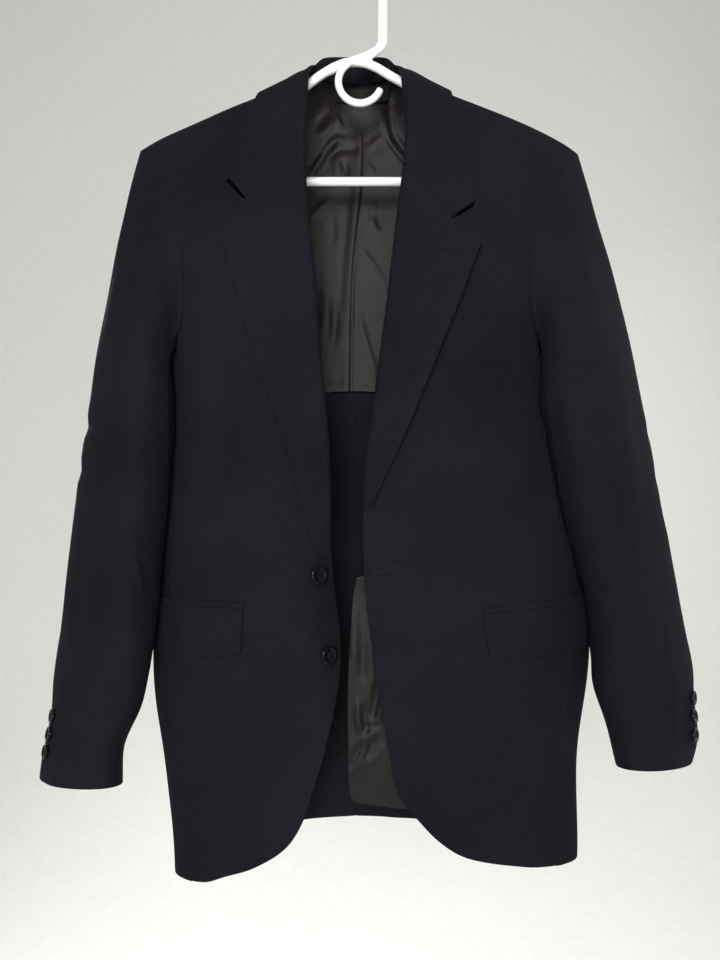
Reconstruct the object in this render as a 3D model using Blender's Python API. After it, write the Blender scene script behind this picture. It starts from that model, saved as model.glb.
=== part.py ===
"""A man's two-button suit jacket, hanging open on a moulded tubular hanger.

Frame: the front faces -Y, +X is the wearer's left, +Z is up. The origin is the inside top of the
hanger's hook. Sizes are in millimetres and become metres when a mesh is made. "right" and "left"
are the wearer's, so the right front is at -X.

The torso is one smooth surface: superellipse sections, gathered towards a sloping shoulder ridge.
Every body panel is a patch of that surface, and every piece sewn on it is made from its points,
moved out. The sleeves run from the armhole's own points through oval rings to the cuff.
"""
import math
from collections import namedtuple

import bmesh
import bpy
from mathutils import Vector
from mathutils.bvhtree import BVHTree

MM = 0.001

# The two sides of the body, as the sign of X, and its two faces, as the sign of Y
RIGHT, LEFT = -1, 1
FRONT, BACK = -1, 1
SIDE_NAMES = {RIGHT: "right", LEFT: "left"}

# Cloth: thickness of each kind of wall and the gap left at each seam
CLOTH = 2.0
LINING = 1.0
FACED = 2.0
SEAM_GAP = 0.4
ARM_SEAM_GAP = 0.8
LAY_GAP = 0.35

# Torso: squareness of its sections, and the drop over which cloth turns from the shoulder ridge.
# A level's middle is the Y where it is widest.
SQUARENESS = 2.5
FRONT_TURN = 120.0
BACK_TURN = 110.0

BodyLevel = namedtuple("BodyLevel", "z right left front back middle front_seam back_seam")
BODY_LEVELS = [
    BodyLevel(-978, 197, 242, 50, 44, 0, 0.87, 0.80),
    BodyLevel(-942, 198, 244, 51, 45, 0, 0.87, 0.80),
    BodyLevel(-870, 206, 242, 53, 46, 0, 0.87, 0.80),
    BodyLevel(-825, 211, 243, 54, 47, 2, 0.87, 0.80),
    BodyLevel(-775, 217, 250, 55, 48, 4, 0.87, 0.80),
    BodyLevel(-740, 217, 253, 56, 49, 6, 0.87, 0.80),
    BodyLevel(-680, 215, 252, 57, 50, 9, 0.87, 0.80),
    BodyLevel(-620, 210, 243, 58, 51, 11, 0.87, 0.81),
    BodyLevel(-570, 206, 231, 59, 52, 12, 0.88, 0.82),
    BodyLevel(-500, 202, 217, 61, 54, 12, 0.89, 0.85),
    BodyLevel(-450, 201, 208, 62, 55, 10, 0.91, 0.88),
    BodyLevel(-412, 206, 213, 63, 56, 8, 0.92, 0.89),
    BodyLevel(-330, 217, 225, 63, 56, 2, 0.93, 0.90),
    BodyLevel(-190, 242, 252, 62, 54, 0, 0.93, 0.90),
    BodyLevel(-60, 244, 254, 60, 52, 0, 0.93, 0.90),
]

# Height of the shoulder ridge by distance from the middle. Inside the neck point it only guides
# the back, whose cloth is held up by the collar.
RidgePoint = namedtuple("RidgePoint", "x right left")
RIDGE = [
    RidgePoint(0, -46, -46),
    RidgePoint(20, -63, -62),
    RidgePoint(40, -93, -91),
    RidgePoint(54, -110, -107),
    RidgePoint(90, -128, -126),
    RidgePoint(132, -144, -142),
    RidgePoint(172, -161, -157),
    RidgePoint(213, -178, -175),
    RidgePoint(236, -191, -188),
    RidgePoint(252, -200, -201),
]
NECK_POINT = 54.0
NeckPoint = namedtuple("NeckPoint", "x z")
BACK_NECK = [NeckPoint(0, -97), NeckPoint(20, -98), NeckPoint(40, -103), NeckPoint(54, -109)]

# Front edges: the roll line down to the top button, then the edge and the cutaway
EdgePoint = namedtuple("EdgePoint", "z x")
FRONT_EDGES = {
    RIGHT: [
        EdgePoint(-895, 51), EdgePoint(-870, 44), EdgePoint(-833, 32), EdgePoint(-800, 25),
        EdgePoint(-773, 17), EdgePoint(-749, 14), EdgePoint(-712, 14), EdgePoint(-665, 21),
        EdgePoint(-589, 26), EdgePoint(-504, 28), EdgePoint(-463, 33), EdgePoint(-336, 43),
        EdgePoint(-243, 52), EdgePoint(-188, 52), EdgePoint(-134, 51), EdgePoint(-110, 54),
    ],
    LEFT: [
        EdgePoint(-895, 63), EdgePoint(-881, 48), EdgePoint(-861, 40), EdgePoint(-828, 36),
        EdgePoint(-779, 25), EdgePoint(-745, 20), EdgePoint(-702, 16), EdgePoint(-675, 11),
        EdgePoint(-630, 9), EdgePoint(-582, 8), EdgePoint(-460, 23), EdgePoint(-368, 35),
        EdgePoint(-298, 43), EdgePoint(-251, 49), EdgePoint(-200, 54), EdgePoint(-163, 53),
        EdgePoint(-129, 51), EdgePoint(-107, 54),
    ],
}
HemPoint = namedtuple("HemPoint", "x z")
FRONT_HEMS = {
    RIGHT: [
        HemPoint(51, -895), HemPoint(64, -920), HemPoint(81, -936), HemPoint(111, -953),
        HemPoint(134, -960), HemPoint(158, -969), HemPoint(200, -971),
    ],
    LEFT: [
        HemPoint(63, -895), HemPoint(78, -912), HemPoint(94, -926), HemPoint(110, -936),
        HemPoint(136, -943), HemPoint(167, -949), HemPoint(190, -953), HemPoint(250, -955),
    ],
}
BACK_HEMS = {
    RIGHT: [HemPoint(0, -933), HemPoint(60, -937), HemPoint(130, -955), HemPoint(200, -971)],
    LEFT: [HemPoint(0, -933), HemPoint(60, -935), HemPoint(140, -947), HemPoint(250, -955)],
}

# Armholes: half-width of the front and of the back at each height, from the shoulder tip down
ArmholePoint = namedtuple("ArmholePoint", "z front back")
ARMHOLES = {
    RIGHT: [
        ArmholePoint(-412, 189.5, 183.3), ArmholePoint(-368, 178, 187), ArmholePoint(-313, 178, 193),
        ArmholePoint(-250, 191, 204), ArmholePoint(-226, 204, 213), ArmholePoint(-190, 234, 234),
    ],
    LEFT: [
        ArmholePoint(-412, 196, 189.6), ArmholePoint(-365, 181, 191), ArmholePoint(-313, 182, 199),
        ArmholePoint(-249, 199, 211), ArmholePoint(-222, 217, 222), ArmholePoint(-194, 243, 243),
    ],
}
SHOULDER_TIPS = {RIGHT: 234.0, LEFT: 243.0}
UNDERARM_DIP = 12.0
UNDERARM_LEAN_HEIGHT = 45.0

# Heights of each row of points, at the front edge, the centre back and the two sides
RowLevel = namedtuple("RowLevel", "edge centre right left")
ROWS = [
    RowLevel(-895, -933, -971, -955),
    RowLevel(-880, -918, -950, -938),
    RowLevel(-858, -893, -916, -908),
    RowLevel(-828, -856, -876, -870),
    RowLevel(-790, -815, -831, -828),
    RowLevel(-750, -772, -785, -785),
    RowLevel(-712, -728, -740, -740),
    RowLevel(-672, -684, -695, -695),
    RowLevel(-630, -640, -650, -650),
    RowLevel(-585, -592, -600, -600),
    RowLevel(-535, -544, -550, -550),
    RowLevel(-480, -494, -500, -500),
    RowLevel(-430, -446, -455, -455),
    RowLevel(-385, -398, -412, -412),
    RowLevel(-343, -358, -384, -384),
    RowLevel(-300, -318, -350, -350),
    RowLevel(-258, -278, -314, -314),
    RowLevel(-220, -240, -280, -280),
    RowLevel(-186, -205, -250, -250),
    RowLevel(-160, -175, -227, -228),
    RowLevel(-138, -149, -210, -212),
    RowLevel(-122, -124, -200, -204),
    RowLevel(-113, -106, -193, -197),
    RowLevel(-110, -97, -190, -194),
]
ARMHOLE_ROW = 13
HEM_FADE_ROWS = 5
TOP_FADE_ROWS = 6
FRONT_COLUMNS = 14
SIDE_COLUMNS = 6
NECK_COLUMNS = 4
SHOULDER_COLUMNS = 9

# Largest folds of the hanging cloth: a line from top to bottom, its width and how far it stands out
Fold = namedtuple("Fold", "face x0 z0 x1 z1 width depth")
FOLDS = [
    Fold(FRONT, -78, -770, -114, -950, 20, -4.0),
    Fold(FRONT, -66, -665, -98, -760, 20, -3.0),
    Fold(FRONT, -140, -450, -146, -620, 24, -2.5),
    Fold(FRONT, 228, -770, 205, -870, 15, -3.0),
    Fold(FRONT, 150, -740, 168, -940, 26, 3.5),
    Fold(FRONT, 118, -480, 112, -640, 24, -2.5),
    Fold(BACK, -70, -560, -84, -940, 24, -4.0),
    Fold(BACK, 62, -620, 88, -930, 26, -4.5),
    Fold(BACK, -112, -230, -80, -420, 22, 3.0),
    Fold(BACK, 118, -240, 92, -400, 22, 2.5),
]

# The right front's edge turns inwards round the buttons
EDGE_TURN_WIDTH = 34.0
EDGE_TURN_DEPTH = 22.0
EDGE_TURN_TOP, EDGE_TURN_BOTTOM = -585.0, -800.0
EDGE_TURN_FADE = 55.0

# Lapels: the outer edge of each row, by the height where the row leaves the roll line
LapelRow = namedtuple("LapelRow", "edge_z outer_x outer_z")
LAPELS = {
    RIGHT: [
        LapelRow(-632, 33, -629), LapelRow(-615, 41, -610), LapelRow(-590, 49, -588),
        LapelRow(-540, 63, -536), LapelRow(-490, 78, -486), LapelRow(-440, 95, -440),
        LapelRow(-390, 110, -392), LapelRow(-340, 122, -348), LapelRow(-285, 132, -308),
        LapelRow(-226, 139, -280),
    ],
    LEFT: [
        LapelRow(-576, 15, -574), LapelRow(-560, 22, -558), LapelRow(-530, 37, -531),
        LapelRow(-490, 55, -490), LapelRow(-447, 72, -447), LapelRow(-396, 92, -398),
        LapelRow(-350, 109, -355), LapelRow(-300, 121, -322), LapelRow(-232, 126, -307),
    ],
}
LAPEL_EDGE_LIFT = {RIGHT: 2.0, LEFT: 6.5}
LAPEL_STEPS = 14

# Section of a lapel round the fold: distance from the roll line and height over the front
TurnPoint = namedtuple("TurnPoint", "along lift")
ROLL_TURN = [TurnPoint(-1.7, -1.6), TurnPoint(-1.9, 0.6), TurnPoint(-0.4, 3.0), TurnPoint(2.5, 4.0)]
SharePoint = namedtuple("SharePoint", "share lift")
FULL_TURN_WIDTH = 30.0
EDGE_LIFT_START = 0.4
LAPEL_SPREAD = [
    SharePoint(0.14, 3.9), SharePoint(0.32, 3.0), SharePoint(0.55, 2.3), SharePoint(0.78, 2.0),
]

# Collar, from the gorge to the centre back: the fold, the leaf's middle and outer edge, and the
# stand's foot. The two front sections lie on the fronts, so only their places in X and Z are given.
GorgeSection = namedtuple("GorgeSection", "roll_z mid_x mid_z edge_x edge_z")
GORGES = {
    RIGHT: [GorgeSection(-224.5, 111, -261.5, 128, -242), GorgeSection(-188, 99, -218, 119, -214),
            GorgeSection(-150, 86, -178, 109, -184), GorgeSection(-124, 79, -150, 104, -162)],
    LEFT: [GorgeSection(-230, 100, -279.5, 121, -266), GorgeSection(-192, 92, -232, 113, -232),
           GorgeSection(-150, 80, -180, 104, -186), GorgeSection(-124, 77, -150, 101, -163)],
}
CollarSection = namedtuple("CollarSection", "roll mid edge foot")
COLLAR_BACK = [
    CollarSection((45.5, -10, -103), (71, -8, -121), (96, -9, -138), (50.5, -10, -110)),
    CollarSection((44, 9, -94), (66, 14, -115), (86, 16, -135), (50, 5, -106)),
    CollarSection((37, 24, -77), (55, 33, -104), (68, 42, -130), (41.5, 17, -101.5)),
    CollarSection((21, 33, -71), (31, 46, -96), (40, 56, -124), (22, 36, -97)),
]
COLLAR_CENTRE = CollarSection((0, 36.5, -69.5), (0, 50, -93), (0, 60, -119), (0, 42.6, -96.3))
COLLAR_STEPS = 17
COLLAR_CLEAR, COLLAR_CLEAR_Z = 4.7, -150.0
GORGE_LIFT, GORGE_LIFT_Z = 2.3, -190.0
LEAF_START, LEAF_MIDDLE = 5, 6
STAND_SHARE, LEAF_SHARE = 0.55, 0.45
ROLL_BELOW, ROLL_ABOVE, ROLL_OUT = 2.0, 0.8, 3.2
CURVE_SAMPLES = 240

# Sleeves: reach of the outer and inner sides in X and of the front and back in Y, by height, and
# how far the seams have turned round the arm by then
SleeveRing = namedtuple("SleeveRing", "z outer inner fore aft twist")
SLEEVES = {
    RIGHT: [
        SleeveRing(-462, 291.5, 192, -82, 58, 30), SleeveRing(-507, 298, 196, -81, 55, 36),
        SleeveRing(-570, 308, 200.5, -79, 50, 48), SleeveRing(-613, 313, 205.5, -78, 46, 62),
        SleeveRing(-666, 318, 207.5, -78, 42, 80), SleeveRing(-711, 322, 210, -79, 37, 95),
        SleeveRing(-740, 325, 210, -80, 32, 104), SleeveRing(-768, 327, 214, -82, 28, 112),
        SleeveRing(-785, 325.5, 218.5, -84, 26, 116), SleeveRing(-803, 328, 227.5, -84, 24, 120),
        SleeveRing(-822, 332, 235.5, -85, 22, 124), SleeveRing(-840, 336, 236, -86, 20, 127),
        SleeveRing(-861, 338, 236, -86, 18, 130),
    ],
    LEFT: [
        SleeveRing(-462, 317, 197, -82, 58, 30), SleeveRing(-507, 325, 208, -81, 55, 36),
        SleeveRing(-570, 336, 221, -79, 50, 48), SleeveRing(-613, 343.5, 230.5, -78, 46, 62),
        SleeveRing(-645, 348.5, 242, -78, 44, 72), SleeveRing(-666, 352.5, 245, -78, 42, 80),
        SleeveRing(-711, 360.5, 243.5, -79, 37, 95), SleeveRing(-740, 365, 242, -80, 32, 106),
        SleeveRing(-758, 366.5, 242, -81, 30, 112), SleeveRing(-778, 366.5, 248, -82, 28, 118),
        SleeveRing(-801, 368.5, 256, -84, 24, 126), SleeveRing(-822, 369.5, 261, -85, 22, 131),
        SleeveRing(-843, 361, 266.5, -86, 18, 136),
    ],
}
SLEEVE_SKEW = math.radians(-30.0)
CAP_ROWS = 6
SQUARE_ROWS = 4
CUFF_PITCH = 0.19
CUFF_PITCH_ROWS = 4

# Where the two sleeve seams leave the armhole, in points counted from the shoulder tip round the
# front, and the length of the first stretch of sleeve out of the armhole and downwards
FRONT_ARM_SEAM = 9
HIND_ARM_SEAM = 18
CAP_OUT, CAP_DOWN = 55.0, 60.0
UNDERARM_FULLNESS, UNDERARM_REACH = 0.4, 60.0
TIP_OUT, TIP_DOWN = 58.0, 130.0

# Pockets
Flap = namedtuple("Flap", "front_x front_z rise lean")
FLAPS = {RIGHT: Flap(114, -680, 0.010, 3.0), LEFT: Flap(131, -686, 0.085, 6.0)}
FLAP_LENGTH, FLAP_HEIGHT, FLAP_THICKNESS, FLAP_CORNER_CUT = 150.0, 50.0, 2.4, 4.2
FLAP_COLUMNS, FLAP_ROWS = 13, 4
JET_HEIGHT, JET_THICKNESS = 5.0, 1.2
WELT_START, WELT_END, WELT_HEIGHT, WELT_THICKNESS = (99.0, -441.0), (172.0, -427.0), 24.0, 1.2

# Buttons
ButtonSize = namedtuple("ButtonSize", "radius thickness segments")
FRONT_BUTTON = ButtonSize(10.0, 3.2, 20)
CUFF_BUTTON = ButtonSize(7.5, 2.8, 12)
BUTTON_STAND, CUFF_BUTTON_STAND = 0.55, 0.4
BUTTON_FOOT = 0.72
ButtonPlace = namedtuple("ButtonPlace", "x z")
FRONT_BUTTONS = [ButtonPlace(-37, -646), ButtonPlace(-27, -729)]
CUFF_BUTTON_HEIGHTS = [34.0, 51.0, 68.0]
CUFF_BUTTON_INSET = 15.0

# Linings and label
LINING_STAND = 1.3
LINING_LAST_COLUMN = 11
YOKE_PLEAT = 3.5
LINING_COLUMNS, LINING_ROWS = 6, 12
LiningRow = namedtuple("LiningRow", "z inner y")
LEFT_LINING = [
    LiningRow(-884, 6, -36), LiningRow(-872, -6, -37), LiningRow(-768, -7, -39),
    LiningRow(-715, -5, -41), LiningRow(-664, 0, -43), LiningRow(-640, 5, -46),
]
LEFT_LINING_REACH = 96.0
LINING_SAG = 6.0
LABEL_THICKNESS = 0.8
LABEL_START = 2

# Hanger
ROD = 5.0
ROD_RESOLUTION = 3
ARM_GAP = 0.7
ArmPoint = namedtuple("ArmPoint", "x z")
APEX_Z = -93.0
ARM_MIDDLE = [ArmPoint(12, -94.5), ArmPoint(24, -99.5), ArmPoint(38, -108)]
ARM_REACH = 199.0
ARM_STEPS, END_STEPS, BAR_STEPS = 8, 9, 5
BAR_Z = -223.5
HOOK_INSIDE = 25.5
HOOK_END_ANGLE = 170.0
STEM_BEND_X, STEM_BEND_Z, STEM_BEND_ANGLE = 11.0, -66.0, 62.0
STEM_BASE = Vector((9.1, 0.0, -84.7))
LOOP_CENTRE = Vector((5.5, -8.7, -119.0))
LOOP_RADIUS, LOOP_ROD = 23.5, 4.2
LOOP_START, LOOP_END = 114.0, 341.0

Finish = namedtuple("Finish", "name colour roughness metallic")
WOOL = Finish("navy_wool", (0.0115, 0.0125, 0.0180, 1.0), 0.85, 0.0)
SATIN = Finish("lining_satin", (0.0240, 0.0220, 0.0200, 1.0), 0.40, 0.0)
LABEL_CLOTH = Finish("label_cloth", (0.0130, 0.0130, 0.0090, 1.0), 0.60, 0.0)
HORN = Finish("button_horn", (0.0100, 0.0080, 0.0070, 1.0), 0.25, 0.0)
PLASTIC = Finish("white_plastic", (0.8400, 0.8600, 0.8300, 1.0), 0.35, 0.0)


def column(rows, value, at, key="z"):
    """Read one column of a table at any key, by a smooth curve that never overshoots its rows."""
    keys = [getattr(row, key) for row in rows]
    values = [getattr(row, value) for row in rows]
    if at <= keys[0]:
        return values[0]
    if at >= keys[-1]:
        return values[-1]
    spot = next(i for i in range(len(keys) - 1) if keys[i] <= at <= keys[i + 1])
    steps = [(values[i + 1] - values[i]) / (keys[i + 1] - keys[i]) for i in range(len(keys) - 1)]

    def slope(i):
        if i == 0:
            return steps[0]
        if i == len(keys) - 1:
            return steps[-1]
        before, after = steps[i - 1], steps[i]
        if before * after <= 0.0:
            return 0.0
        return 2.0 * before * after / (before + after)

    span = keys[spot + 1] - keys[spot]
    t = (at - keys[spot]) / span
    return (values[spot] * (2 * t**3 - 3 * t**2 + 1) + slope(spot) * span * (t**3 - 2 * t**2 + t)
            + values[spot + 1] * (3 * t**2 - 2 * t**3) + slope(spot + 1) * span * (t**3 - t**2))


def lerp(a, b, t):
    return a + (b - a) * t


def smoothstep(t):
    t = min(max(t, 0.0), 1.0)
    return t * t * (3.0 - 2.0 * t)


def catmull(points, t):
    """Point at t, 0 to 1, on a smooth curve through evenly counted points."""
    place = min(max(t, 0.0), 1.0) * (len(points) - 1)
    i = min(int(place), len(points) - 2)
    f = place - i
    before = points[max(i - 1, 0)]
    a, b = points[i], points[i + 1]
    after = points[min(i + 2, len(points) - 1)]
    return 0.5 * (2 * a + (b - before) * f + (2 * before - 5 * a + 4 * b - after) * f**2
                  + (3 * a - before - 3 * b + after) * f**3)


def even_shares(points, count):
    """Places evenly apart along a smooth curve through the points, as shares for catmull."""
    fine = [i / CURVE_SAMPLES for i in range(CURVE_SAMPLES + 1)]
    spots = [catmull(points, t) for t in fine]
    lengths = [0.0]
    for a, b in zip(spots, spots[1:]):
        lengths.append(lengths[-1] + (b - a).length)
    shares = []
    for i in range(count):
        goal = lengths[-1] * i / (count - 1)
        spot = min(sum(1 for length in lengths if length <= goal), CURVE_SAMPLES) - 1
        along = (goal - lengths[spot]) / (lengths[spot + 1] - lengths[spot])
        shares.append(lerp(fine[spot], fine[spot + 1], along))
    return shares


def side_of(x):
    return RIGHT if x < 0 else LEFT


def side_column(rows, x, at, key="z"):
    return column(rows, SIDE_NAMES[side_of(x)], at, key)


def ridge_height(x):
    return side_column(RIDGE, x, abs(x), key="x")


def edge_x(side, z):
    """X of the front edge or roll line, as a distance from the middle."""
    return column(FRONT_EDGES[side], "x", z)


def fold_depth(x, z, face):
    """How far the named folds push the cloth out at one place."""
    total = 0.0
    for fold in FOLDS:
        if fold.face != face:
            continue
        line = Vector((fold.x1 - fold.x0, fold.z1 - fold.z0))
        offset = Vector((x - fold.x0, z - fold.z0))
        share = offset.dot(line) / line.length_squared
        aside = abs(line.x * offset.y - line.y * offset.x) / line.length
        ends = smoothstep((share + 0.15) / 0.35) * smoothstep((1.15 - share) / 0.35)
        total += fold.depth * ends * math.exp(-(aside / fold.width) ** 2)
    return total


def edge_turn(x, z):
    """How far the right front's edge turns back at one place."""
    if x > 0:
        return 0.0
    inset = abs(x) - edge_x(RIGHT, z)
    near = max(1.0 - inset / EDGE_TURN_WIDTH, 0.0)
    fade = (smoothstep((EDGE_TURN_TOP - z) / EDGE_TURN_FADE)
            * smoothstep((z - EDGE_TURN_BOTTOM) / EDGE_TURN_FADE))
    return EDGE_TURN_DEPTH * near**2 * fade


def torso_point(x, z, face):
    """Outer surface of the torso at one place on its front or back."""
    width = side_column(BODY_LEVELS, x, z)
    across = min(abs(x) / width, 1.0)
    lateral = (1.0 - across**SQUARENESS) ** (1.0 / SQUARENESS)
    turn = FRONT_TURN if face == FRONT else BACK_TURN
    drop = min(max(ridge_height(x) - z, 0.0) / turn, 1.0)
    gathered = math.sqrt(1.0 - (1.0 - drop) ** 2)
    depth = column(BODY_LEVELS, "front" if face == FRONT else "back", z)
    middle = column(BODY_LEVELS, "middle", z) * gathered
    lean = fold_depth(x, z, face) * lateral * gathered
    y = middle + face * (depth * lateral * gathered + lean) - middle * lateral
    if face == FRONT:
        y += edge_turn(x, z)
    return Vector((x, y, z))


def torso_normal(x, z, face):
    """Outward direction of the torso's surface at one place."""
    step = 0.5
    drop = ridge_height(x) - z
    across = (torso_point(x + step, ridge_height(x + step) - drop, face)
              - torso_point(x - step, ridge_height(x - step) - drop, face))
    top = z + step if drop > step else z
    down = torso_point(x, z - step, face) - torso_point(x, top, face)
    normal = across.cross(down).normalized()
    if normal.dot(Vector((0.0, face, 0.3))) < 0:
        normal.negate()
    if drop < step:
        normal = Vector((normal.x, 0.0, normal.z)).normalized()
    return normal


def ring_point(side, z, angle):
    """Torso surface at an angle round its section: -90 degrees in front, 0 at the side, 90 behind."""
    width = column(BODY_LEVELS, SIDE_NAMES[side], z)
    x = side * width * math.cos(angle) ** (2.0 / SQUARENESS)
    return torso_point(x, z, FRONT if angle < 0 else BACK)


def ring_angle(share, face):
    """Angle on the ring of a place at a share of the half-width."""
    return face * math.acos(min(share, 1.0) ** (SQUARENESS / 2.0))


def ring_normal(side, z, angle):
    step = 0.01
    around = ring_point(side, z, angle + step) - ring_point(side, z, angle - step)
    rise = ring_point(side, z + 2.0, angle) - ring_point(side, z - 2.0, angle)
    normal = around.cross(rise).normalized()
    return normal if normal.x * side + 0.01 * normal.y * angle > 0 else -normal


def walk_round(side, z, start_x, distance):
    """Angle on the ring at a distance along the cloth from a place on the front."""
    width = column(BODY_LEVELS, SIDE_NAMES[side], z)
    angle = ring_angle(start_x / width, FRONT)
    step = math.radians(1.0)
    here = ring_point(side, z, angle)
    gone = 0.0
    while gone < distance:
        there = ring_point(side, z, angle + step)
        length = (there - here).length
        if gone + length >= distance:
            return angle + step * (distance - gone) / length
        gone += length
        angle += step
        here = there
    return angle


def material(finish):
    """Get or make the Principled material of one finish."""
    found = bpy.data.materials.get(finish.name)
    if found:
        return found
    made = bpy.data.materials.new(finish.name)
    made.use_nodes = True
    shader = made.node_tree.nodes["Principled BSDF"]
    shader.inputs["Base Color"].default_value = finish.colour
    shader.inputs["Roughness"].default_value = finish.roughness
    shader.inputs["Metallic"].default_value = finish.metallic
    made.diffuse_color = finish.colour
    return made


def finish_object(name, mesh_data, finish):
    """Close a bmesh into a named object, its faces pointing out and smooth between sharp edges."""
    bmesh.ops.recalc_face_normals(mesh_data, faces=mesh_data.faces)
    mesh = bpy.data.meshes.new(name)
    mesh_data.to_mesh(mesh)
    mesh_data.free()
    mesh.materials.append(material(finish))
    mesh.shade_smooth()
    mesh.set_sharp_from_angle(angle=math.radians(40))
    thing = bpy.data.objects.new(name, mesh)
    bpy.context.collection.objects.link(thing)
    return thing


def grid_normals(grid):
    """Direction square to a grid of points, at each of them."""
    normals = []
    for r, row in enumerate(grid):
        line = []
        for c in range(len(row)):
            along = row[min(c + 1, len(row) - 1)] - row[max(c - 1, 0)]
            up = grid[min(r + 1, len(grid) - 1)][c] - grid[max(r - 1, 0)][c]
            line.append(along.cross(up).normalized())
        normals.append(line)
    return normals


def pull_edges(grid, amount):
    """Draw the grid's edges in along its own lines, to leave half a seam's gap."""
    rows = [list(row) for row in grid]
    for row in rows:
        for end, beside in ((0, 1), (-1, -2)):
            row[end] = row[end] + (row[beside] - row[end]).normalized() * amount
    for end, beside in ((0, 1), (-1, -2)):
        for c, point in enumerate(rows[end]):
            rows[end][c] = point + (rows[beside][c] - point).normalized() * amount
    return rows


def wall(name, outer, inner, finish):
    """Closed cloth wall between two grids of points."""
    shape = bmesh.new()
    skins = [[[shape.verts.new(p * MM) for p in row] for row in grid] for grid in (outer, inner)]
    rows, columns = len(outer), len(outer[0])
    for skin in skins:
        for r in range(rows - 1):
            for c in range(columns - 1):
                shape.faces.new((skin[r][c], skin[r][c + 1], skin[r + 1][c + 1], skin[r + 1][c]))
    rim = ([(0, c) for c in range(columns)] + [(r, columns - 1) for r in range(1, rows)]
           + [(rows - 1, c) for c in range(columns - 2, -1, -1)] + [(r, 0) for r in range(rows - 2, 0, -1)])
    for (r0, c0), (r1, c1) in zip(rim, rim[1:] + rim[:1]):
        shape.faces.new((skins[0][r0][c0], skins[0][r1][c1], skins[1][r1][c1], skins[1][r0][c0]))
    return finish_object(name, shape, finish)


def wall_about(name, grid, thickness, finish):
    """Cloth wall with its middle on a grid of points."""
    normals = grid_normals(grid)
    half = thickness / 2.0
    outer = [[p + n * half for p, n in zip(row, line)] for row, line in zip(grid, normals)]
    inner = [[p - n * half for p, n in zip(row, line)] for row, line in zip(grid, normals)]
    return wall(name, outer, inner, finish)


def wall_inside(name, outer, normals, thickness, finish, gap=SEAM_GAP / 2.0):
    """Cloth wall that hangs inwards from its outer points, along the surface's own directions."""
    grid = pull_edges(outer, gap)
    inner = [[p - n * thickness for p, n in zip(row, line)] for row, line in zip(grid, normals)]
    return wall(name, grid, inner, finish)


def fade(count, rows):
    """Share left of a correction, this many rows away from the edge where it is whole."""
    return max(1.0 - count / rows, 0.0) ** 1.5


def front_shares():
    """Places of the front's columns across it, closer together towards the side."""
    bend = 1.2
    return [math.sin(c / (FRONT_COLUMNS - 1) * bend) / math.sin(bend) for c in range(FRONT_COLUMNS)]


def back_shares():
    """Places of the back's columns across it, one of them on the neck point."""
    neck = NECK_POINT / SHOULDER_TIPS[LEFT]
    shares = [neck * c / NECK_COLUMNS for c in range(NECK_COLUMNS)]
    return shares + [lerp(neck, 1.0, math.sin(c / SHOULDER_COLUMNS) / math.sin(1.0))
                     for c in range(SHOULDER_COLUMNS + 1)]


def bent_height(row, ends, share, hem_z, top_z):
    """Height in a row, bent to the hem's line near the bottom and to the seam's near the top."""
    def height(level):
        return lerp(getattr(level, ends[0]), getattr(level, ends[1]), share)

    last = len(ROWS) - 1
    return (height(ROWS[row]) + (hem_z - height(ROWS[0])) * fade(row, HEM_FADE_ROWS)
            + (top_z - height(ROWS[last])) * fade(last - row, TOP_FADE_ROWS))


def panel_grid(side, face):
    """Outer points of a front or a back, from hem to shoulder seam, and their directions."""
    name = SIDE_NAMES[side]
    in_front = face == FRONT
    part = "front" if in_front else "back"
    ends = ("edge" if in_front else "centre", name)
    hem = (FRONT_HEMS if in_front else BACK_HEMS)[side]
    top_start = NECK_POINT if in_front else 0.0
    points, normals = [], []
    for r, level in enumerate(ROWS):
        side_z = getattr(level, name)
        start_x = edge_x(side, level.edge) if in_front else 0.0
        if r <= ARMHOLE_ROW:
            end_x = column(BODY_LEVELS, name, side_z) * column(BODY_LEVELS, part + "_seam", side_z)
        else:
            end_x = column(ARMHOLES[side], part, side_z)
        row, directions = [], []
        for share in front_shares() if in_front else back_shares():
            x = lerp(start_x, end_x, share)
            top_x = lerp(top_start, SHOULDER_TIPS[side], share)
            if top_x < NECK_POINT:
                top_z = column(BACK_NECK, "z", top_x, key="x")
            else:
                top_z = ridge_height(side * top_x)
            z = bent_height(r, ends, share, column(hem, "z", x, key="x"), top_z)
            z = min(z, ridge_height(side * x))
            row.append(torso_point(side * x, z, face))
            directions.append(torso_normal(side * x, z, face))
        points.append(row)
        normals.append(directions)
    return points, normals


def side_grid(side):
    """Outer points of one side body, from the hem up to the underarm."""
    name = SIDE_NAMES[side]
    points, normals = [], []
    for r in range(ARMHOLE_ROW + 1):
        side_z = getattr(ROWS[r], name)
        start = ring_angle(column(BODY_LEVELS, "front_seam", side_z), FRONT)
        end = ring_angle(column(BODY_LEVELS, "back_seam", side_z), BACK)
        row, directions = [], []
        for c in range(SIDE_COLUMNS):
            share = c / (SIDE_COLUMNS - 1)
            dip = UNDERARM_DIP * math.sin(math.pi * share) * fade(ARMHOLE_ROW - r, 3)
            z = side_z - dip
            angle = lerp(start, end, share)
            row.append(ring_point(side, z, angle))
            directions.append(ring_normal(side, z, angle))
        points.append(row)
        normals.append(directions)
    return points, normals


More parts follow.
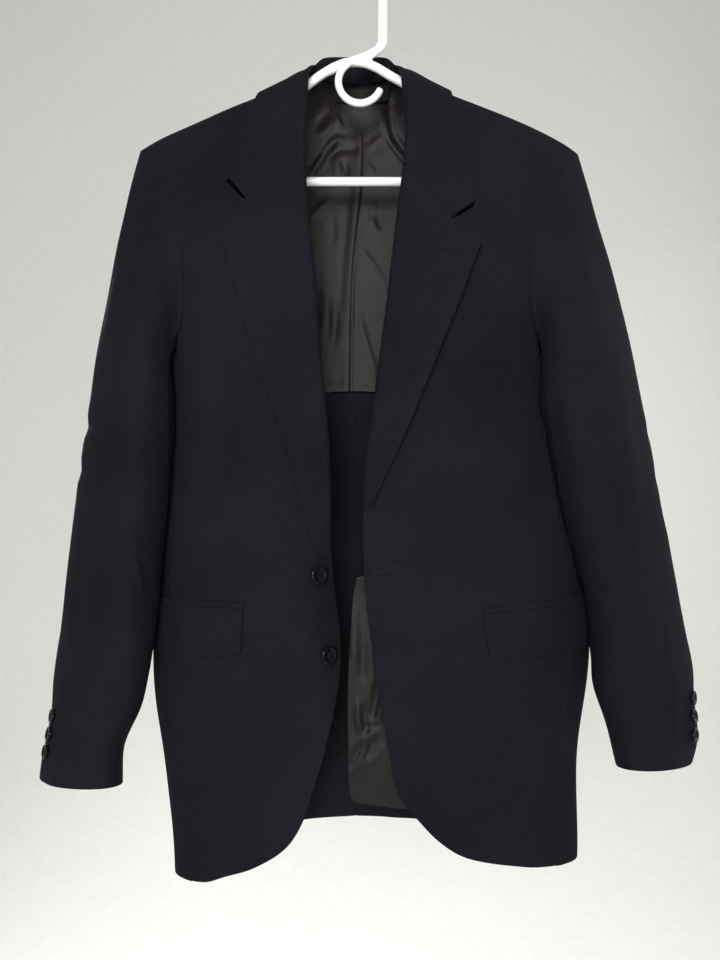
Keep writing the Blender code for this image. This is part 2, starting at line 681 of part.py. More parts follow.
def armhole_loop(side, front, side_body, back):
    """Points of one armhole from the shoulder tip round the front, each with the sleeve's way out of
    it and the direction square to the sleeve there. Each panel is its points and their directions."""
    spots = []
    for r in range(len(ROWS) - 1, ARMHOLE_ROW - 1, -1):
        spots.append((front[0][r][-1], front[0][r][-1] - front[0][r][-2], front[1][r][-1]))
    top, below = side_body[0][-1], side_body[0][-2]
    for c in range(1, SIDE_COLUMNS - 1):
        spots.append((top[c], top[c] - below[c], side_body[1][-1][c]))
    for r in range(ARMHOLE_ROW, len(ROWS)):
        spots.append((back[0][r][-1], back[0][r][-1] - back[0][r][-2], back[1][r][-1]))
    tip = tuple((a + b) / 2.0 for a, b in zip(spots[0], spots[-1]))
    low = min(spot[0].z for spot in spots)
    loop, ways, squares = [], [], []
    for point, tangent, normal in [tip] + spots[1:-1]:
        lean = math.radians(90.0) * smoothstep((low + UNDERARM_LEAN_HEIGHT - point.z) / UNDERARM_LEAN_HEIGHT)
        tangent, normal = tangent.normalized(), normal.normalized()
        loop.append(point.copy())
        ways.append(tangent * math.cos(lean) + normal * math.sin(lean))
        squares.append(normal * math.cos(lean) - tangent * math.sin(lean))
    return loop, ways, squares


def ring_at(side, z, turn):
    """Point on one sleeve at a height and at a share of a turn from its outer side to the front."""
    rings = sorted(SLEEVES[side])
    read = {name: column(rings, name, z) for name in ("outer", "inner", "fore", "aft", "twist")}
    half_x, half_y = (read["outer"] - read["inner"]) / 2.0, (read["aft"] - read["fore"]) / 2.0
    angle = turn * 2.0 * math.pi + math.radians(read["twist"])
    x = (read["outer"] + read["inner"]) / 2.0 + half_x * math.cos(angle)
    y = (read["fore"] + read["aft"]) / 2.0 - half_y * math.sin(angle + SLEEVE_SKEW)
    return Vector((side * x, y, z))


def sleeve_rings(side, loop, ways):
    """Rings of points from the armhole to the cuff, all with a point for each armhole point."""
    count = len(loop)
    levels = [ring.z for ring in SLEEVES[side]]
    lengths = [0.0]
    for i in range(count):
        lengths.append(lengths[-1] + (loop[(i + 1) % count] - loop[i]).length)
    turns = [lengths[i] / lengths[-1] for i in range(count)]
    top = max(p.z for p in loop)
    low = min(p.z for p in loop)
    rings = []
    for row in range(CAP_ROWS):
        t = row / CAP_ROWS
        ring = []
        for start, way, turn in zip(loop, ways, turns):
            height = smoothstep((start.z - low) / (top - low))
            start = start + way * SEAM_GAP
            end = ring_at(side, levels[0], turn)
            fullness = lerp(UNDERARM_FULLNESS, 1.0, smoothstep((start.z - low) / UNDERARM_REACH))
            leave = way * lerp(CAP_OUT, TIP_OUT, height) * fullness
            leave = leave + Vector((0, 0, -1)) * lerp(CAP_DOWN, TIP_DOWN, height)
            arrive = (ring_at(side, levels[1], turn) - end).normalized() * (start - end).length
            ring.append(start * (2 * t**3 - 3 * t**2 + 1) + leave * (t**3 - 2 * t**2 + t)
                        + end * (3 * t**2 - 2 * t**3) + arrive * (t**3 - t**2))
        rings.append(ring)
    for i, z in enumerate(levels):
        ring = [ring_at(side, z, turn) for turn in turns]
        pitch = CUFF_PITCH * max(1.0 - (len(levels) - 1 - i) / CUFF_PITCH_ROWS, 0.0)
        middle = sum(p.y for p in ring) / count
        for point in ring:
            point.z -= pitch * (point.y - middle)
        rings.append(ring)
    return rings, turns


def build_sleeves(side, loop, ways, squares):
    """Top and under sleeve, meeting at the arm seams; returns the hind seam's share of a turn."""
    rings, turns = sleeve_rings(side, loop, ways)
    count = len(loop)
    directions = [squares]
    for r in range(1, len(rings)):
        above, below = rings[r - 1], rings[min(r + 1, len(rings) - 1)]
        start_share = fade(r, SQUARE_ROWS)
        line = []
        for c in range(count):
            out = (rings[r][(c + 1) % count] - rings[r][c - 1]).cross(below[c] - above[c]).normalized() * side
            line.append(lerp(out, squares[c], start_share).normalized())
        directions.append(line)
    spans = {
        "top_sleeve": range(HIND_ARM_SEAM - count, FRONT_ARM_SEAM + 1),
        "under_sleeve": range(FRONT_ARM_SEAM, HIND_ARM_SEAM + 1),
    }
    for piece, span in spans.items():
        outer = [[ring[c % count] for c in span] for ring in rings]
        inward = [[line[c % count] for c in span] for line in directions]
        wall_inside(f"{SIDE_NAMES[side]}_{piece}", outer, inward, CLOTH, WOOL, gap=ARM_SEAM_GAP / 2.0)
    return turns[HIND_ARM_SEAM]


class Skin:
    """The outer faces of the built panels, for laying other pieces on them."""

    AHEAD = -500.0
    TRUST = 6.0

    def __init__(self):
        self.points = []
        self.quads = []
        self.tree = None

    def add(self, grid):
        """Take in one panel's grid of outer points."""
        width = len(grid[0])
        start = len(self.points)
        for row in grid:
            self.points += row
        for r in range(len(grid) - 1):
            for c in range(width - 1):
                corner = start + r * width + c
                self.quads.append((corner, corner + 1, corner + width + 1, corner + width))
        self.tree = BVHTree.FromPolygons(self.points, self.quads)

    def laid(self, x, z, lift):
        """Place this far off the front's faces at one X and Z."""
        hit = self.tree.ray_cast(Vector((x, self.AHEAD, z)), Vector((0.0, 1.0, 0.0)))[0]
        smooth = torso_point(x, z, FRONT)
        base = hit if hit and abs(hit.y - smooth.y) < self.TRUST else smooth
        return base + torso_normal(x, z, FRONT) * lift

    def cleared(self, point, clearance):
        """The point, moved out where it lies nearer to the cloth's outside than the clearance."""
        near, normal, _, _ = self.tree.find_nearest(point)
        if normal.dot(Vector((0.1 * near.x, near.y, 40.0))) < 0:
            normal = -normal
        depth = (point - near).dot(normal)
        return point if depth >= clearance else point + normal * (clearance - depth)


def lapel_grid(side, skin):
    """Middle points of one lapel, from its lower end up to the gorge."""
    table = LAPELS[side]
    keys = [Vector((edge_x(side, row.edge_z), row.edge_z, row.outer_x, row.outer_z)) for row in table]
    grid = []
    for step in range(LAPEL_STEPS):
        t = step / (LAPEL_STEPS - 1)
        start_x, start_z, end_x, end_z = catmull(keys, t)
        start_x = edge_x(side, start_z)
        grid.append(turned_row(skin, side, (start_x, start_z), (end_x, end_z), LAPEL_EDGE_LIFT[side]))
    return grid


def turned_row(skin, side, start, end, edge_lift):
    """Points of cloth that turns round the front's edge and lies back over the front."""
    start_x, start_z = start
    across = Vector((end[0] - start_x, end[1] - start_z))
    width = across.length
    way = across / width
    small = min(1.0, width / FULL_TURN_WIDTH)
    home = torso_point(side * start_x, start_z, FRONT)
    home_normal = torso_normal(side * start_x, start_z, FRONT)
    along_way = Vector((side * way.x, 0.0, way.y))
    along_way = (along_way - home_normal * along_way.dot(home_normal)).normalized()
    row = []
    for turn in ROLL_TURN:
        row.append(home + along_way * turn.along * (small if turn.along > 0 else 1.0)
                   + home_normal * turn.lift)
    spread = list(LAPEL_SPREAD) + [SharePoint(1.0, edge_lift)]
    for spot in spread:
        x = start_x + way.x * width * spot.share
        z = start_z + way.y * width * spot.share
        rise = smoothstep((spot.share - EDGE_LIFT_START) / (1.0 - EDGE_LIFT_START))
        lift = spot.lift + (edge_lift - LAPEL_SPREAD[-1].lift) * rise * (spot.share < 1.0)
        row.append(skin.laid(side * x, z, lift))
    return row


def collar_row(side, section):
    """Points of one collar section behind the shoulder, from the stand's foot over the fold."""
    roll, mid, edge, foot = (Vector((side * p[0], p[1], p[2])) for p in section)
    rise = (roll - foot).normalized()
    out = (mid - roll).normalized()
    return [
        foot,
        lerp(foot, roll, STAND_SHARE),
        roll - rise * ROLL_BELOW,
        roll + rise * ROLL_ABOVE,
        roll + out * ROLL_OUT,
        lerp(roll, mid, LEAF_SHARE),
        mid,
        lerp(mid, edge, 0.5),
        edge,
    ]


def gorge_row(skin, side, section):
    """Points of one collar section on the front, on the same fold as the lapel."""
    start = (edge_x(side, section.roll_z), section.roll_z)
    row = turned_row(skin, side, start, (section.mid_x, section.mid_z), GORGE_LIFT)
    keep = row[:LEAF_MIDDLE] + [row[-1]]
    for share in (0.5, 1.0):
        x = lerp(section.mid_x, section.edge_x, share)
        z = lerp(section.mid_z, section.edge_z, share)
        keep.append(skin.laid(side * x, z, GORGE_LIFT))
    return keep


def collar_grid(skin):
    """Middle points of the whole collar, from the right gorge round the neck to the left one."""
    rows = [gorge_row(skin, RIGHT, section) for section in GORGES[RIGHT]]
    rows += [collar_row(RIGHT, section) for section in COLLAR_BACK]
    rows.append(collar_row(RIGHT, COLLAR_CENTRE))
    rows += [collar_row(LEFT, section) for section in reversed(COLLAR_BACK)]
    rows += [gorge_row(skin, LEFT, section) for section in reversed(GORGES[LEFT])]
    middle = [row[LEAF_MIDDLE] for row in rows]
    grid = []
    for t in even_shares(middle, 2 * COLLAR_STEPS - 1):
        row = [catmull([r[c] for r in rows], t) for c in range(len(rows[0]))]
        for c in range(LEAF_START, len(row)):
            rise = smoothstep((row[c].z - GORGE_LIFT_Z) / (COLLAR_CLEAR_Z - GORGE_LIFT_Z))
            row[c] = skin.cleared(row[c], lerp(GORGE_LIFT, COLLAR_CLEAR, rise))
        grid.append(row)
    return grid


def build_flap(side):
    """Hip pocket flap with its jet, lying on the front and round the side."""
    name = SIDE_NAMES[side]
    flap = FLAPS[side]

    def strip(top, bottom, lift, corner):
        grid = []
        for r in range(FLAP_ROWS):
            down = lerp(bottom, top, r / (FLAP_ROWS - 1))
            row = []
            for c in range(FLAP_COLUMNS):
                share = c / (FLAP_COLUMNS - 1)
                low = down
                if corner and c == 0:
                    low = min(down, bottom - FLAP_CORNER_CUT)
                distance = FLAP_LENGTH * share + flap.lean * (1.0 - share) * down / FLAP_HEIGHT
                z = flap.front_z - low + flap.rise * FLAP_LENGTH * share
                angle = walk_round(side, z, flap.front_x, distance)
                row.append(ring_point(side, z, angle) + ring_normal(side, z, angle) * lift)
            grid.append(row)
        return grid

    flap_lift = 2 * LAY_GAP + FLAP_THICKNESS / 2.0 + LAY_GAP
    jet_lift = 2 * LAY_GAP + JET_THICKNESS / 2.0
    wall_about(f"{name}_flap", strip(0.0, FLAP_HEIGHT, flap_lift, True), FLAP_THICKNESS, WOOL)
    wall_about(f"{name}_pocket_jet", strip(-JET_HEIGHT - 0.5, -0.5, jet_lift, False), JET_THICKNESS, WOOL)


def build_welt(skin):
    """Breast pocket welt on the left front."""
    (x0, z0), (x1, z1) = WELT_START, WELT_END
    lift = LAY_GAP + WELT_THICKNESS / 2.0
    grid = []
    for r in range(4):
        row = []
        for c in range(7):
            x = lerp(x0, x1, c / 6)
            z = lerp(z0, z1, c / 6) - WELT_HEIGHT * (1.0 - r / 3)
            row.append(skin.laid(x, z, lift))
        grid.append(row)
    wall_about("breast_welt", grid, WELT_THICKNESS, WOOL)


def build_button(name, seat, normal, size, stand):
    """Button turned about its own axis, with a raised rim round a dished middle."""
    profile = [(0.0, 0.0), (BUTTON_FOOT, 0.0), (1.0, 0.5), (0.88, 1.0), (0.66, 0.7), (0.0, 0.62)]
    shape = bmesh.new()
    verts = [shape.verts.new((r * size.radius * MM, 0.0, h * size.thickness * MM)) for r, h in profile]
    edges = [shape.edges.new(pair) for pair in zip(verts, verts[1:])]
    bmesh.ops.spin(shape, geom=verts + edges, cent=(0, 0, 0), axis=(0, 0, 1), angle=2 * math.pi,
                   steps=size.segments, use_merge=True, use_duplicate=False)
    bmesh.ops.remove_doubles(shape, verts=shape.verts, dist=0.00001)
    button = finish_object(name, shape, HORN)
    button.rotation_euler = normal.to_track_quat("Z", "Y").to_euler()
    button.location = (seat + normal * stand) * MM


def build_front_buttons():
    """Two buttons on the right front, seated on its turned edge."""
    for i, place in enumerate(FRONT_BUTTONS):
        seat = torso_point(place.x, place.z, FRONT)
        normal = torso_normal(place.x, place.z, FRONT)
        side_way = normal.orthogonal().normalized()
        stand = 0.0
        for step in range(FRONT_BUTTON.segments):
            angle = 2.0 * math.pi * step / FRONT_BUTTON.segments
            way = side_way * math.cos(angle) + normal.cross(side_way) * math.sin(angle)
            spot = seat + way * FRONT_BUTTON.radius * BUTTON_FOOT
            stand = max(stand, (torso_point(spot.x, spot.z, FRONT) - spot).dot(normal))
        build_button(f"front_button_{i + 1}", seat, normal, FRONT_BUTTON, BUTTON_STAND + stand)


def build_cuff_buttons(side, hind_turn):
    """A row of small buttons above one cuff, beside the hind arm seam."""
    for i, height in enumerate(CUFF_BUTTON_HEIGHTS):
        z = SLEEVES[side][-1].z + height
        seam = ring_at(side, z, hind_turn)
        turn = hind_turn
        while (ring_at(side, z, turn) - seam).length < CUFF_BUTTON_INSET:
            turn += 0.002
        around = ring_at(side, z, turn + 0.01) - ring_at(side, z, turn - 0.01)
        rise = ring_at(side, z + 5.0, turn) - ring_at(side, z - 5.0, turn)
        normal = around.cross(rise).normalized()
        if normal.x * side < 0:
            normal.negate()
        build_button(f"{SIDE_NAMES[side]}_cuff_button_{i + 1}", ring_at(side, z, turn), normal, CUFF_BUTTON,
                     CUFF_BUTTON_STAND)


def inner_row(backs, place, columns, depth):
    """Points inside the back along one row, from its right to its left, this far in. The place is a
    row and a share of the way to the row above, for each column counted from the centre."""
    points = []
    for c in columns:
        grid, ways = backs[RIGHT if c < 0 else LEFT]
        row, share = place(abs(c))
        spot = lerp(grid[row][abs(c)], grid[row + 1][abs(c)], share)
        way = lerp(ways[row][abs(c)], ways[row + 1][abs(c)], share).normalized()
        points.append(spot - way * depth)
    return points


def build_back_lining(backs):
    """Half lining of the upper back, with its pleat down the middle, and the bare neck label."""
    depth = CLOTH + LINING_STAND + LINING / 2.0
    columns = range(-LINING_LAST_COLUMN, LINING_LAST_COLUMN + 1)
    top = len(ROWS) - 3
    grid = [inner_row(backs, lambda c, r=r: (r, 0.0), columns, depth) for r in range(ARMHOLE_ROW - 1, top)]
    for neck_row, neck_share, share in ((0, 0.0, 0.0), (0, 0.5, 0.1), (1, 0.0, 0.2), (1, 0.6, 0.3)):
        def place(c, neck=(top + neck_row, neck_share), aside=(top, share)):
            return neck if c < NECK_COLUMNS else aside
        grid.append(inner_row(backs, place, columns, depth))
    pleat_end = top - ARMHOLE_ROW
    for r, row in enumerate(grid[:pleat_end]):
        row[LINING_LAST_COLUMN].y -= YOKE_PLEAT * math.sin(math.pi * r / pleat_end)
    wall_about("back_lining", grid, LINING, SATIN)

    depth += LINING / 2.0 + 2 * LAY_GAP + LABEL_THICKNESS / 2.0
    columns = range(-LABEL_START, NECK_COLUMNS)
    rows = [inner_row(backs, lambda c, r=r, t=t: (r, t), columns, depth)
            for r, t in ((top, 0.5), (top + 1, 0.0), (top + 1, 0.55))]
    wall_about("neck_label", rows, LABEL_THICKNESS, LABEL_CLOTH)


def build_front_lining():
    """Lining of the left front, hanging free of it behind the front edge."""
    grid = []
    for r in range(LINING_ROWS):
        z = lerp(LEFT_LINING[0].z, LEFT_LINING[-1].z, r / (LINING_ROWS - 1))
        inner = column(LEFT_LINING, "inner", z)
        row = []
        for c in range(LINING_COLUMNS):
            share = c / (LINING_COLUMNS - 1)
            x = lerp(inner, LEFT_LINING_REACH, share)
            low = z - LINING_SAG * math.sin(math.pi * share) * fade(r, 4)
            seat = torso_point(x, low, FRONT).y + CLOTH + 2 * LAY_GAP + LINING / 2.0
            row.append(Vector((x, lerp(column(LEFT_LINING, "y", z), seat, smoothstep(share)), low)))
        grid.append(row)
    wall_about("left_front_lining", grid, LINING, SATIN)


def tube(name, path, radius, finish, closed=False):
    """Round rod along a path, with flat ends unless it is closed."""
    curve = bpy.data.curves.new(name, "CURVE")
    curve.dimensions = "3D"
    curve.bevel_depth = radius * MM
    curve.bevel_resolution = ROD_RESOLUTION
    curve.use_fill_caps = not closed
    spline = curve.splines.new("POLY")
    spline.points.add(len(path) - 1)
    for point, place in zip(spline.points, path):
        point.co = (*(place * MM), 1.0)
    spline.use_cyclic_u = closed
    curve.materials.append(material(finish))
    thing = bpy.data.objects.new(name, curve)
    bpy.context.collection.objects.link(thing)
    return thing


def arc(centre, radius, start, end, steps):
    """Points in the XZ plane round a centre, from one angle to another in degrees."""
    return [centre + Vector((math.cos(a), 0.0, math.sin(a))) * radius
            for a in (math.radians(lerp(start, end, i / steps)) for i in range(steps + 1))]


def arm_height(x):
    """Height of the hanger arm's middle line under the shoulder."""
    slope = (ridge_height(x + ROD) - ridge_height(x - ROD)) / (2.0 * ROD)
    return ridge_height(x) - (CLOTH + ARM_GAP + ROD) * math.sqrt(1.0 + slope**2)


def half_hanger(side):
    """Middle line of half the hanger: from the apex out along the arm, round its end, back on the bar."""
    points = [Vector((side * p.x, 0.0, p.z)) for p in ARM_MIDDLE]
    for i in range(ARM_STEPS + 1):
        x = side * lerp(NECK_POINT, ARM_REACH, i / ARM_STEPS)
        points.append(Vector((x, 0.0, arm_height(x))))
    end = points[-1]
    tilt = math.atan2(points[-2].z - end.z, abs(end.x - points[-2].x))
    radius = (end.z - BAR_Z) / (1.0 + math.cos(tilt))
    centre = Vector((abs(end.x) - radius * math.sin(tilt), 0.0, BAR_Z + radius))
    turn = arc(centre, radius, 90.0 - math.degrees(tilt), -90.0, END_STEPS)[1:]
    points += [Vector((side * p.x, p.y, p.z)) for p in turn]
    for i in range(1, BAR_STEPS + 1):
        points.append(Vector((points[-1].x * (1.0 - 1.0 / (BAR_STEPS + 2 - i)), 0.0, BAR_Z)))
    return points


def build_hanger():
    """Tubular hanger: arms and bar in one loop, the stem with its hook, and the small front loop."""
    apex = Vector((0.0, 0.0, APEX_Z))
    right, left = half_hanger(RIGHT), half_hanger(LEFT)
    tube("hanger_arms", [apex] + right + left[::-1], ROD, PLASTIC, closed=True)
    hook_centre = Vector((0.0, 0.0, -HOOK_INSIDE))
    centre_radius = HOOK_INSIDE + ROD
    bend = arc(Vector((STEM_BEND_X, 0.0, STEM_BEND_Z)), centre_radius - STEM_BEND_X, 0.0, -STEM_BEND_ANGLE, 5)
    path = [STEM_BASE] + bend[::-1]
    path += arc(hook_centre, centre_radius, 0.0, HOOK_END_ANGLE, 20)
    tube("hanger_hook", path, ROD, PLASTIC)
    loop = arc(LOOP_CENTRE, LOOP_RADIUS, LOOP_START, LOOP_END, 16)
    tube("hanger_loop", loop, LOOP_ROD, PLASTIC)


def main():
    """Build the jacket and its hanger from an empty scene."""
    for thing in list(bpy.data.objects):
        bpy.data.objects.remove(thing, do_unlink=True)
    build_hanger()
    skin = Skin()
    backs = {}
    for side, name in SIDE_NAMES.items():
        front, back, under = panel_grid(side, FRONT), panel_grid(side, BACK), side_grid(side)
        for piece, (grid, ways) in (("front", front), ("back", back), ("side_body", under)):
            wall_inside(f"{name}_{piece}", grid, ways, CLOTH, WOOL)
            skin.add(grid)
        backs[side] = back
        hind_turn = build_sleeves(side, *armhole_loop(side, front, under, back))
        build_cuff_buttons(side, hind_turn)
        build_flap(side)
    for side, name in SIDE_NAMES.items():
        wall_about(f"{name}_lapel", lapel_grid(side, skin), FACED, WOOL)
    wall_about("collar", collar_grid(skin), FACED, WOOL)
    build_welt(skin)
    build_front_buttons()
    build_back_lining(backs)
    build_front_lining()


main()
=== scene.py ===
"""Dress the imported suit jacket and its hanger: cloth, linings, sewing, buttons and a plain studio.

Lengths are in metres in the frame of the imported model, except where a name or a docstring says mm.
Right and left are the wearer's. The front faces -Y and +Z is up.
"""
from __future__ import annotations

import logging
import math
from dataclasses import dataclass, field, replace
from enum import Enum
from typing import Any, Callable, Sequence

import bmesh
import bpy
import numpy as np
from mathutils import Matrix, Vector
from mathutils.bvhtree import BVHTree
from mathutils.kdtree import KDTree


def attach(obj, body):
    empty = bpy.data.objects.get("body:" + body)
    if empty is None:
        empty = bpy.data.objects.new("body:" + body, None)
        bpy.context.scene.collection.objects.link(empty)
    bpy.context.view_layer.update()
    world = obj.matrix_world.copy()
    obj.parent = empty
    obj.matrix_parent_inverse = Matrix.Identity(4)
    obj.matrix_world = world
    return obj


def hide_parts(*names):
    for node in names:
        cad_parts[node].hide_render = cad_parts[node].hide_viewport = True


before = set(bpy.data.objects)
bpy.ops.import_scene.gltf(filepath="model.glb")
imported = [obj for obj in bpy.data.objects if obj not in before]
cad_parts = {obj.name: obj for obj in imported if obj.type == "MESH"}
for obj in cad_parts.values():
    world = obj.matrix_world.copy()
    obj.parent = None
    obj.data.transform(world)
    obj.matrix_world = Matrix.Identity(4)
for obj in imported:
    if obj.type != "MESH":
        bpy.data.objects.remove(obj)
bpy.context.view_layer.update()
LOG = logging.getLogger("jacket")
MM = 0.001
WELD = 1e-5
RIM_ANGLE = math.radians(48)
SMOOTH_ANGLE = math.radians(42)
PAIR_BEND = math.radians(25)
PAIR_SHAPE = math.radians(70)
SPAN_STEPS = 7
WAVE_PERIOD = 2.0 * math.pi / 20.0
NUMBER = "NodeSocketFloat"

Place = tuple[float, float]
Colour = tuple[float, float, float]
Spot = tuple[float, float, float]


class Side(Enum):
    """The wearer's right or left."""

    RIGHT = "right"
    LEFT = "left"


class Face(Enum):
    """The face of the body that a chart of folds lies on."""

    FRONT = "front"
    BACK = "back"


class Grain(Enum):
    """Which two axes a flat chart of a piece's weave follows."""

    FACING = (0, 2)
    FLANK = (1, 2)


# ---- folds


def ease(share: np.ndarray) -> np.ndarray:
    """Turn a ramp from 0 to 1 into one that starts and ends level."""
    held = np.clip(share, 0.0, 1.0)
    return held * held * (3.0 - 2.0 * held)


def smooth_line(path: Sequence[Place]) -> np.ndarray:
    """Return the points of a smooth curve through the places of a path."""
    knots = np.array(path, float)
    padded = np.vstack([2 * knots[0] - knots[1], knots, 2 * knots[-1] - knots[-2]])
    share = np.linspace(0.0, 1.0, SPAN_STEPS, endpoint=False)[:, None]
    spans = []
    for before, here, there, after in zip(padded, padded[1:], padded[2:], padded[3:]):
        straight = (there - before) * share
        bend = (2 * before - 5 * here + 4 * there - after) * share**2
        twist = (3 * here - before - 3 * there + after) * share**3
        spans.append(0.5 * (2 * here + straight + bend + twist))
    return np.vstack(spans + [knots[-1:]])


@dataclass(frozen=True)
class Crease:
    """One soft fold, with its line and its section in mm on the chart of its face.

    width is half the width of the section. depth is how far it stands out, or falls in when it is
    below zero. fade_in and fade_out are the shares of its length over which its two ends run out.
    SHOULDER is how far the cloth beside it moves the other way, and SHOULDER_AT is where.
    """

    path: tuple[Place, ...]
    width: float
    depth: float
    fade_in: float = 0.4
    fade_out: float = 0.4

    SHOULDER = 0.28
    SHOULDER_AT = 2.1
    REACH = 4.0

    def height(self, chart: np.ndarray) -> np.ndarray:
        """Work out how far this fold lifts each place.

        Args:
            chart: places on the chart, one row each, in mm.

        Returns:
            The lift of each place, in mm.
        """
        lift = np.zeros(len(chart))
        line = smooth_line(self.path)
        low = line.min(axis=0) - self.REACH * self.width
        high = line.max(axis=0) + self.REACH * self.width
        near = np.flatnonzero(((chart > low) & (chart < high)).all(axis=1))
        if not len(near):
            return lift
        start, run = line[:-1], np.diff(line, axis=0)
        lengths = np.linalg.norm(run, axis=1)
        passed = np.concatenate([[0.0], np.cumsum(lengths)])
        away = chart[near][:, None, :] - start[None]
        share = np.clip((away * run).sum(axis=2) / lengths**2, 0.0, 1.0)
        distance = np.linalg.norm(away - share[..., None] * run, axis=2)
        nearest = distance.argmin(axis=1)
        rows = np.arange(len(near))
        across = distance[rows, nearest] / self.width
        along = (passed[nearest] + share[rows, nearest] * lengths[nearest]) / passed[-1]
        section = np.exp(-(across**2))
        section -= self.SHOULDER * np.exp(-((across - self.SHOULDER_AT) ** 2))
        taper = np.ones(len(near))
        if self.fade_in:
            taper *= ease(along / self.fade_in)
        if self.fade_out:
            taper *= ease((1.0 - along) / self.fade_out)
        lift[near] = self.depth * section * taper
        return lift


def total_lift(folds: Sequence[Crease], chart: np.ndarray) -> np.ndarray:
    """Return how far some folds together lift each place on a chart, in mm."""
    lift = np.zeros(len(chart))
    for fold in folds:
        lift += fold.height(chart)
    return lift


def crease_table(*rows: tuple) -> tuple[Crease, ...]:
    """Return a crease for each row of a table: its path, width, depth and fades."""
    return tuple(Crease(*row) for row in rows)


@dataclass(frozen=True)
class Swell:
    """The slow unevenness of hung cloth: a few long waves that cross each other."""

    seed: int
    rise: float
    shortest: float = 85.0
    longest: float = 240.0
    count: int = 7

    SLANT = 0.75

    def height(self, chart: np.ndarray) -> np.ndarray:
        """Return the lift of each place on the chart, in mm."""
        draw = np.random.default_rng(self.seed)
        lift = np.zeros(len(chart))
        for _ in range(self.count):
            turn = draw.uniform(-self.SLANT, self.SLANT)
            length = draw.uniform(self.shortest, self.longest)
            across = chart[:, 0] * math.cos(turn) + chart[:, 1] * math.sin(turn)
            lift += np.sin(across * 2.0 * math.pi / length + draw.uniform(0.0, 2.0 * math.pi))
        return lift * self.rise / math.sqrt(self.count)


@dataclass(frozen=True)
class Pull:
    """A soft pull of the cloth round one place, given as X and Z in mm, by way, also in mm."""

    place: Place
    radius: float
    way: Spot

    def push(self, points: np.ndarray) -> np.ndarray:
        """Return the move of each point, in mm."""
        far = np.hypot(points[:, 0] - self.place[0], points[:, 2] - self.place[1]) / self.radius
        return np.exp(-far * far)[:, None] * np.array(self.way)


@dataclass
class FoldChart:
    """All the folds that lie on one face of the body, pushed straight out of that face.

    They fade out towards the sides, over turn_width from turn_at, and towards the shoulders, over
    quiet_run below quiet_above. All are in mm.
    """

    face: Face
    creases: tuple[Crease, ...]
    swell: Swell
    turn_at: float = 2.0
    turn_width: float = 34.0
    quiet_above: float = -150.0
    quiet_run: float = 60.0

    def push(self, points: np.ndarray) -> np.ndarray:
        """Work out where the folds carry points of the body.

        Args:
            points: places in space, one row each, in mm.

        Returns:
            The move of each point, in mm.
        """
        chart = points[:, [0, 2]]
        lift = self.swell.height(chart) + total_lift(self.creases, chart)
        outward = -1.0 if self.face is Face.FRONT else 1.0
        weight = ease((outward * (points[:, 1] - self.turn_at)) / self.turn_width)
        weight *= ease((self.quiet_above - points[:, 2]) / self.quiet_run)
        move = np.zeros_like(points)
        move[:, 1] = outward * lift * weight
        return move


BODY_FRONT = FoldChart(
    Face.FRONT,
    crease_table(
        (((-133, -402), (-135, -457), (-133, -500), (-141, -547)), 10, -2.4),
        (((-140, -528), (-150, -564), (-162, -600)), 10, -2.0),
        (((-77, -695), (-84, -726), (-91, -755)), 12, 2.0),
        (((-71, -772), (-91, -844), (-106, -898)), 14, -2.2),
        (((-121, -937), (-106, -924), (-91, -915)), 9, 1.4, 0.3, 0.3),
        (((-199, -765), (-182, -763), (-166, -765)), 5, -0.9),
        (((-172, -800), (-180, -850), (-176, -905)), 13, 1.7),
        (((-60, -570), (-72, -640), (-70, -690)), 13, 1.2),
        (((185, -878), (195, -884), (204, -887)), 6, -1.2),
        (((149, -829), (160, -838), (172, -844)), 7, 1.5),
        (((104, -867), (120, -870), (136, -870)), 6, 1.2),
        (((226, -769), (218, -822), (210, -874)), 9, -1.8),
        (((231, -628), (238, -650), (243, -673)), 5, -1.3),
        (((168, -500), (158, -575), (163, -650)), 15, 1.5),
        (((92, -560), (84, -640), (90, -725)), 14, -1.2),
        (((70, -770), (82, -850), (76, -935)), 15, 1.6, 0.4, 0.0),
    ),
    Swell(11, 0.7),
)

BODY_BACK = FoldChart(
    Face.BACK,
    crease_table(
        (((-98, -185), (-122, -262), (-129, -352)), 14, 2.2),
        (((90, -190), (113, -280), (117, -384)), 13, 1.9),
        (((-62, -430), (-96, -524), (-121, -640)), 12, -2.3),
        (((70, -452), (92, -560), (97, -692)), 13, -2.4),
        (((-30, -566), (-39, -704), (-33, -860)), 12, 1.7),
        (((121, -700), (137, -806), (141, -946)), 14, 2.0, 0.4, 0.0),
        (((-150, -662), (-161, -780), (-152, -936)), 12, -2.1, 0.4, 0.0),
        (((-172, -470), (-150, -500), (-120, -512)), 8, -1.6),
        (((186, -462), (160, -496), (132, -510)), 8, -1.5),
        (((44, -730), (52, -830), (47, -952)), 13, -1.6, 0.5, 0.0),
    ),
    Swell(23, 0.8),
)


# ---- node trees


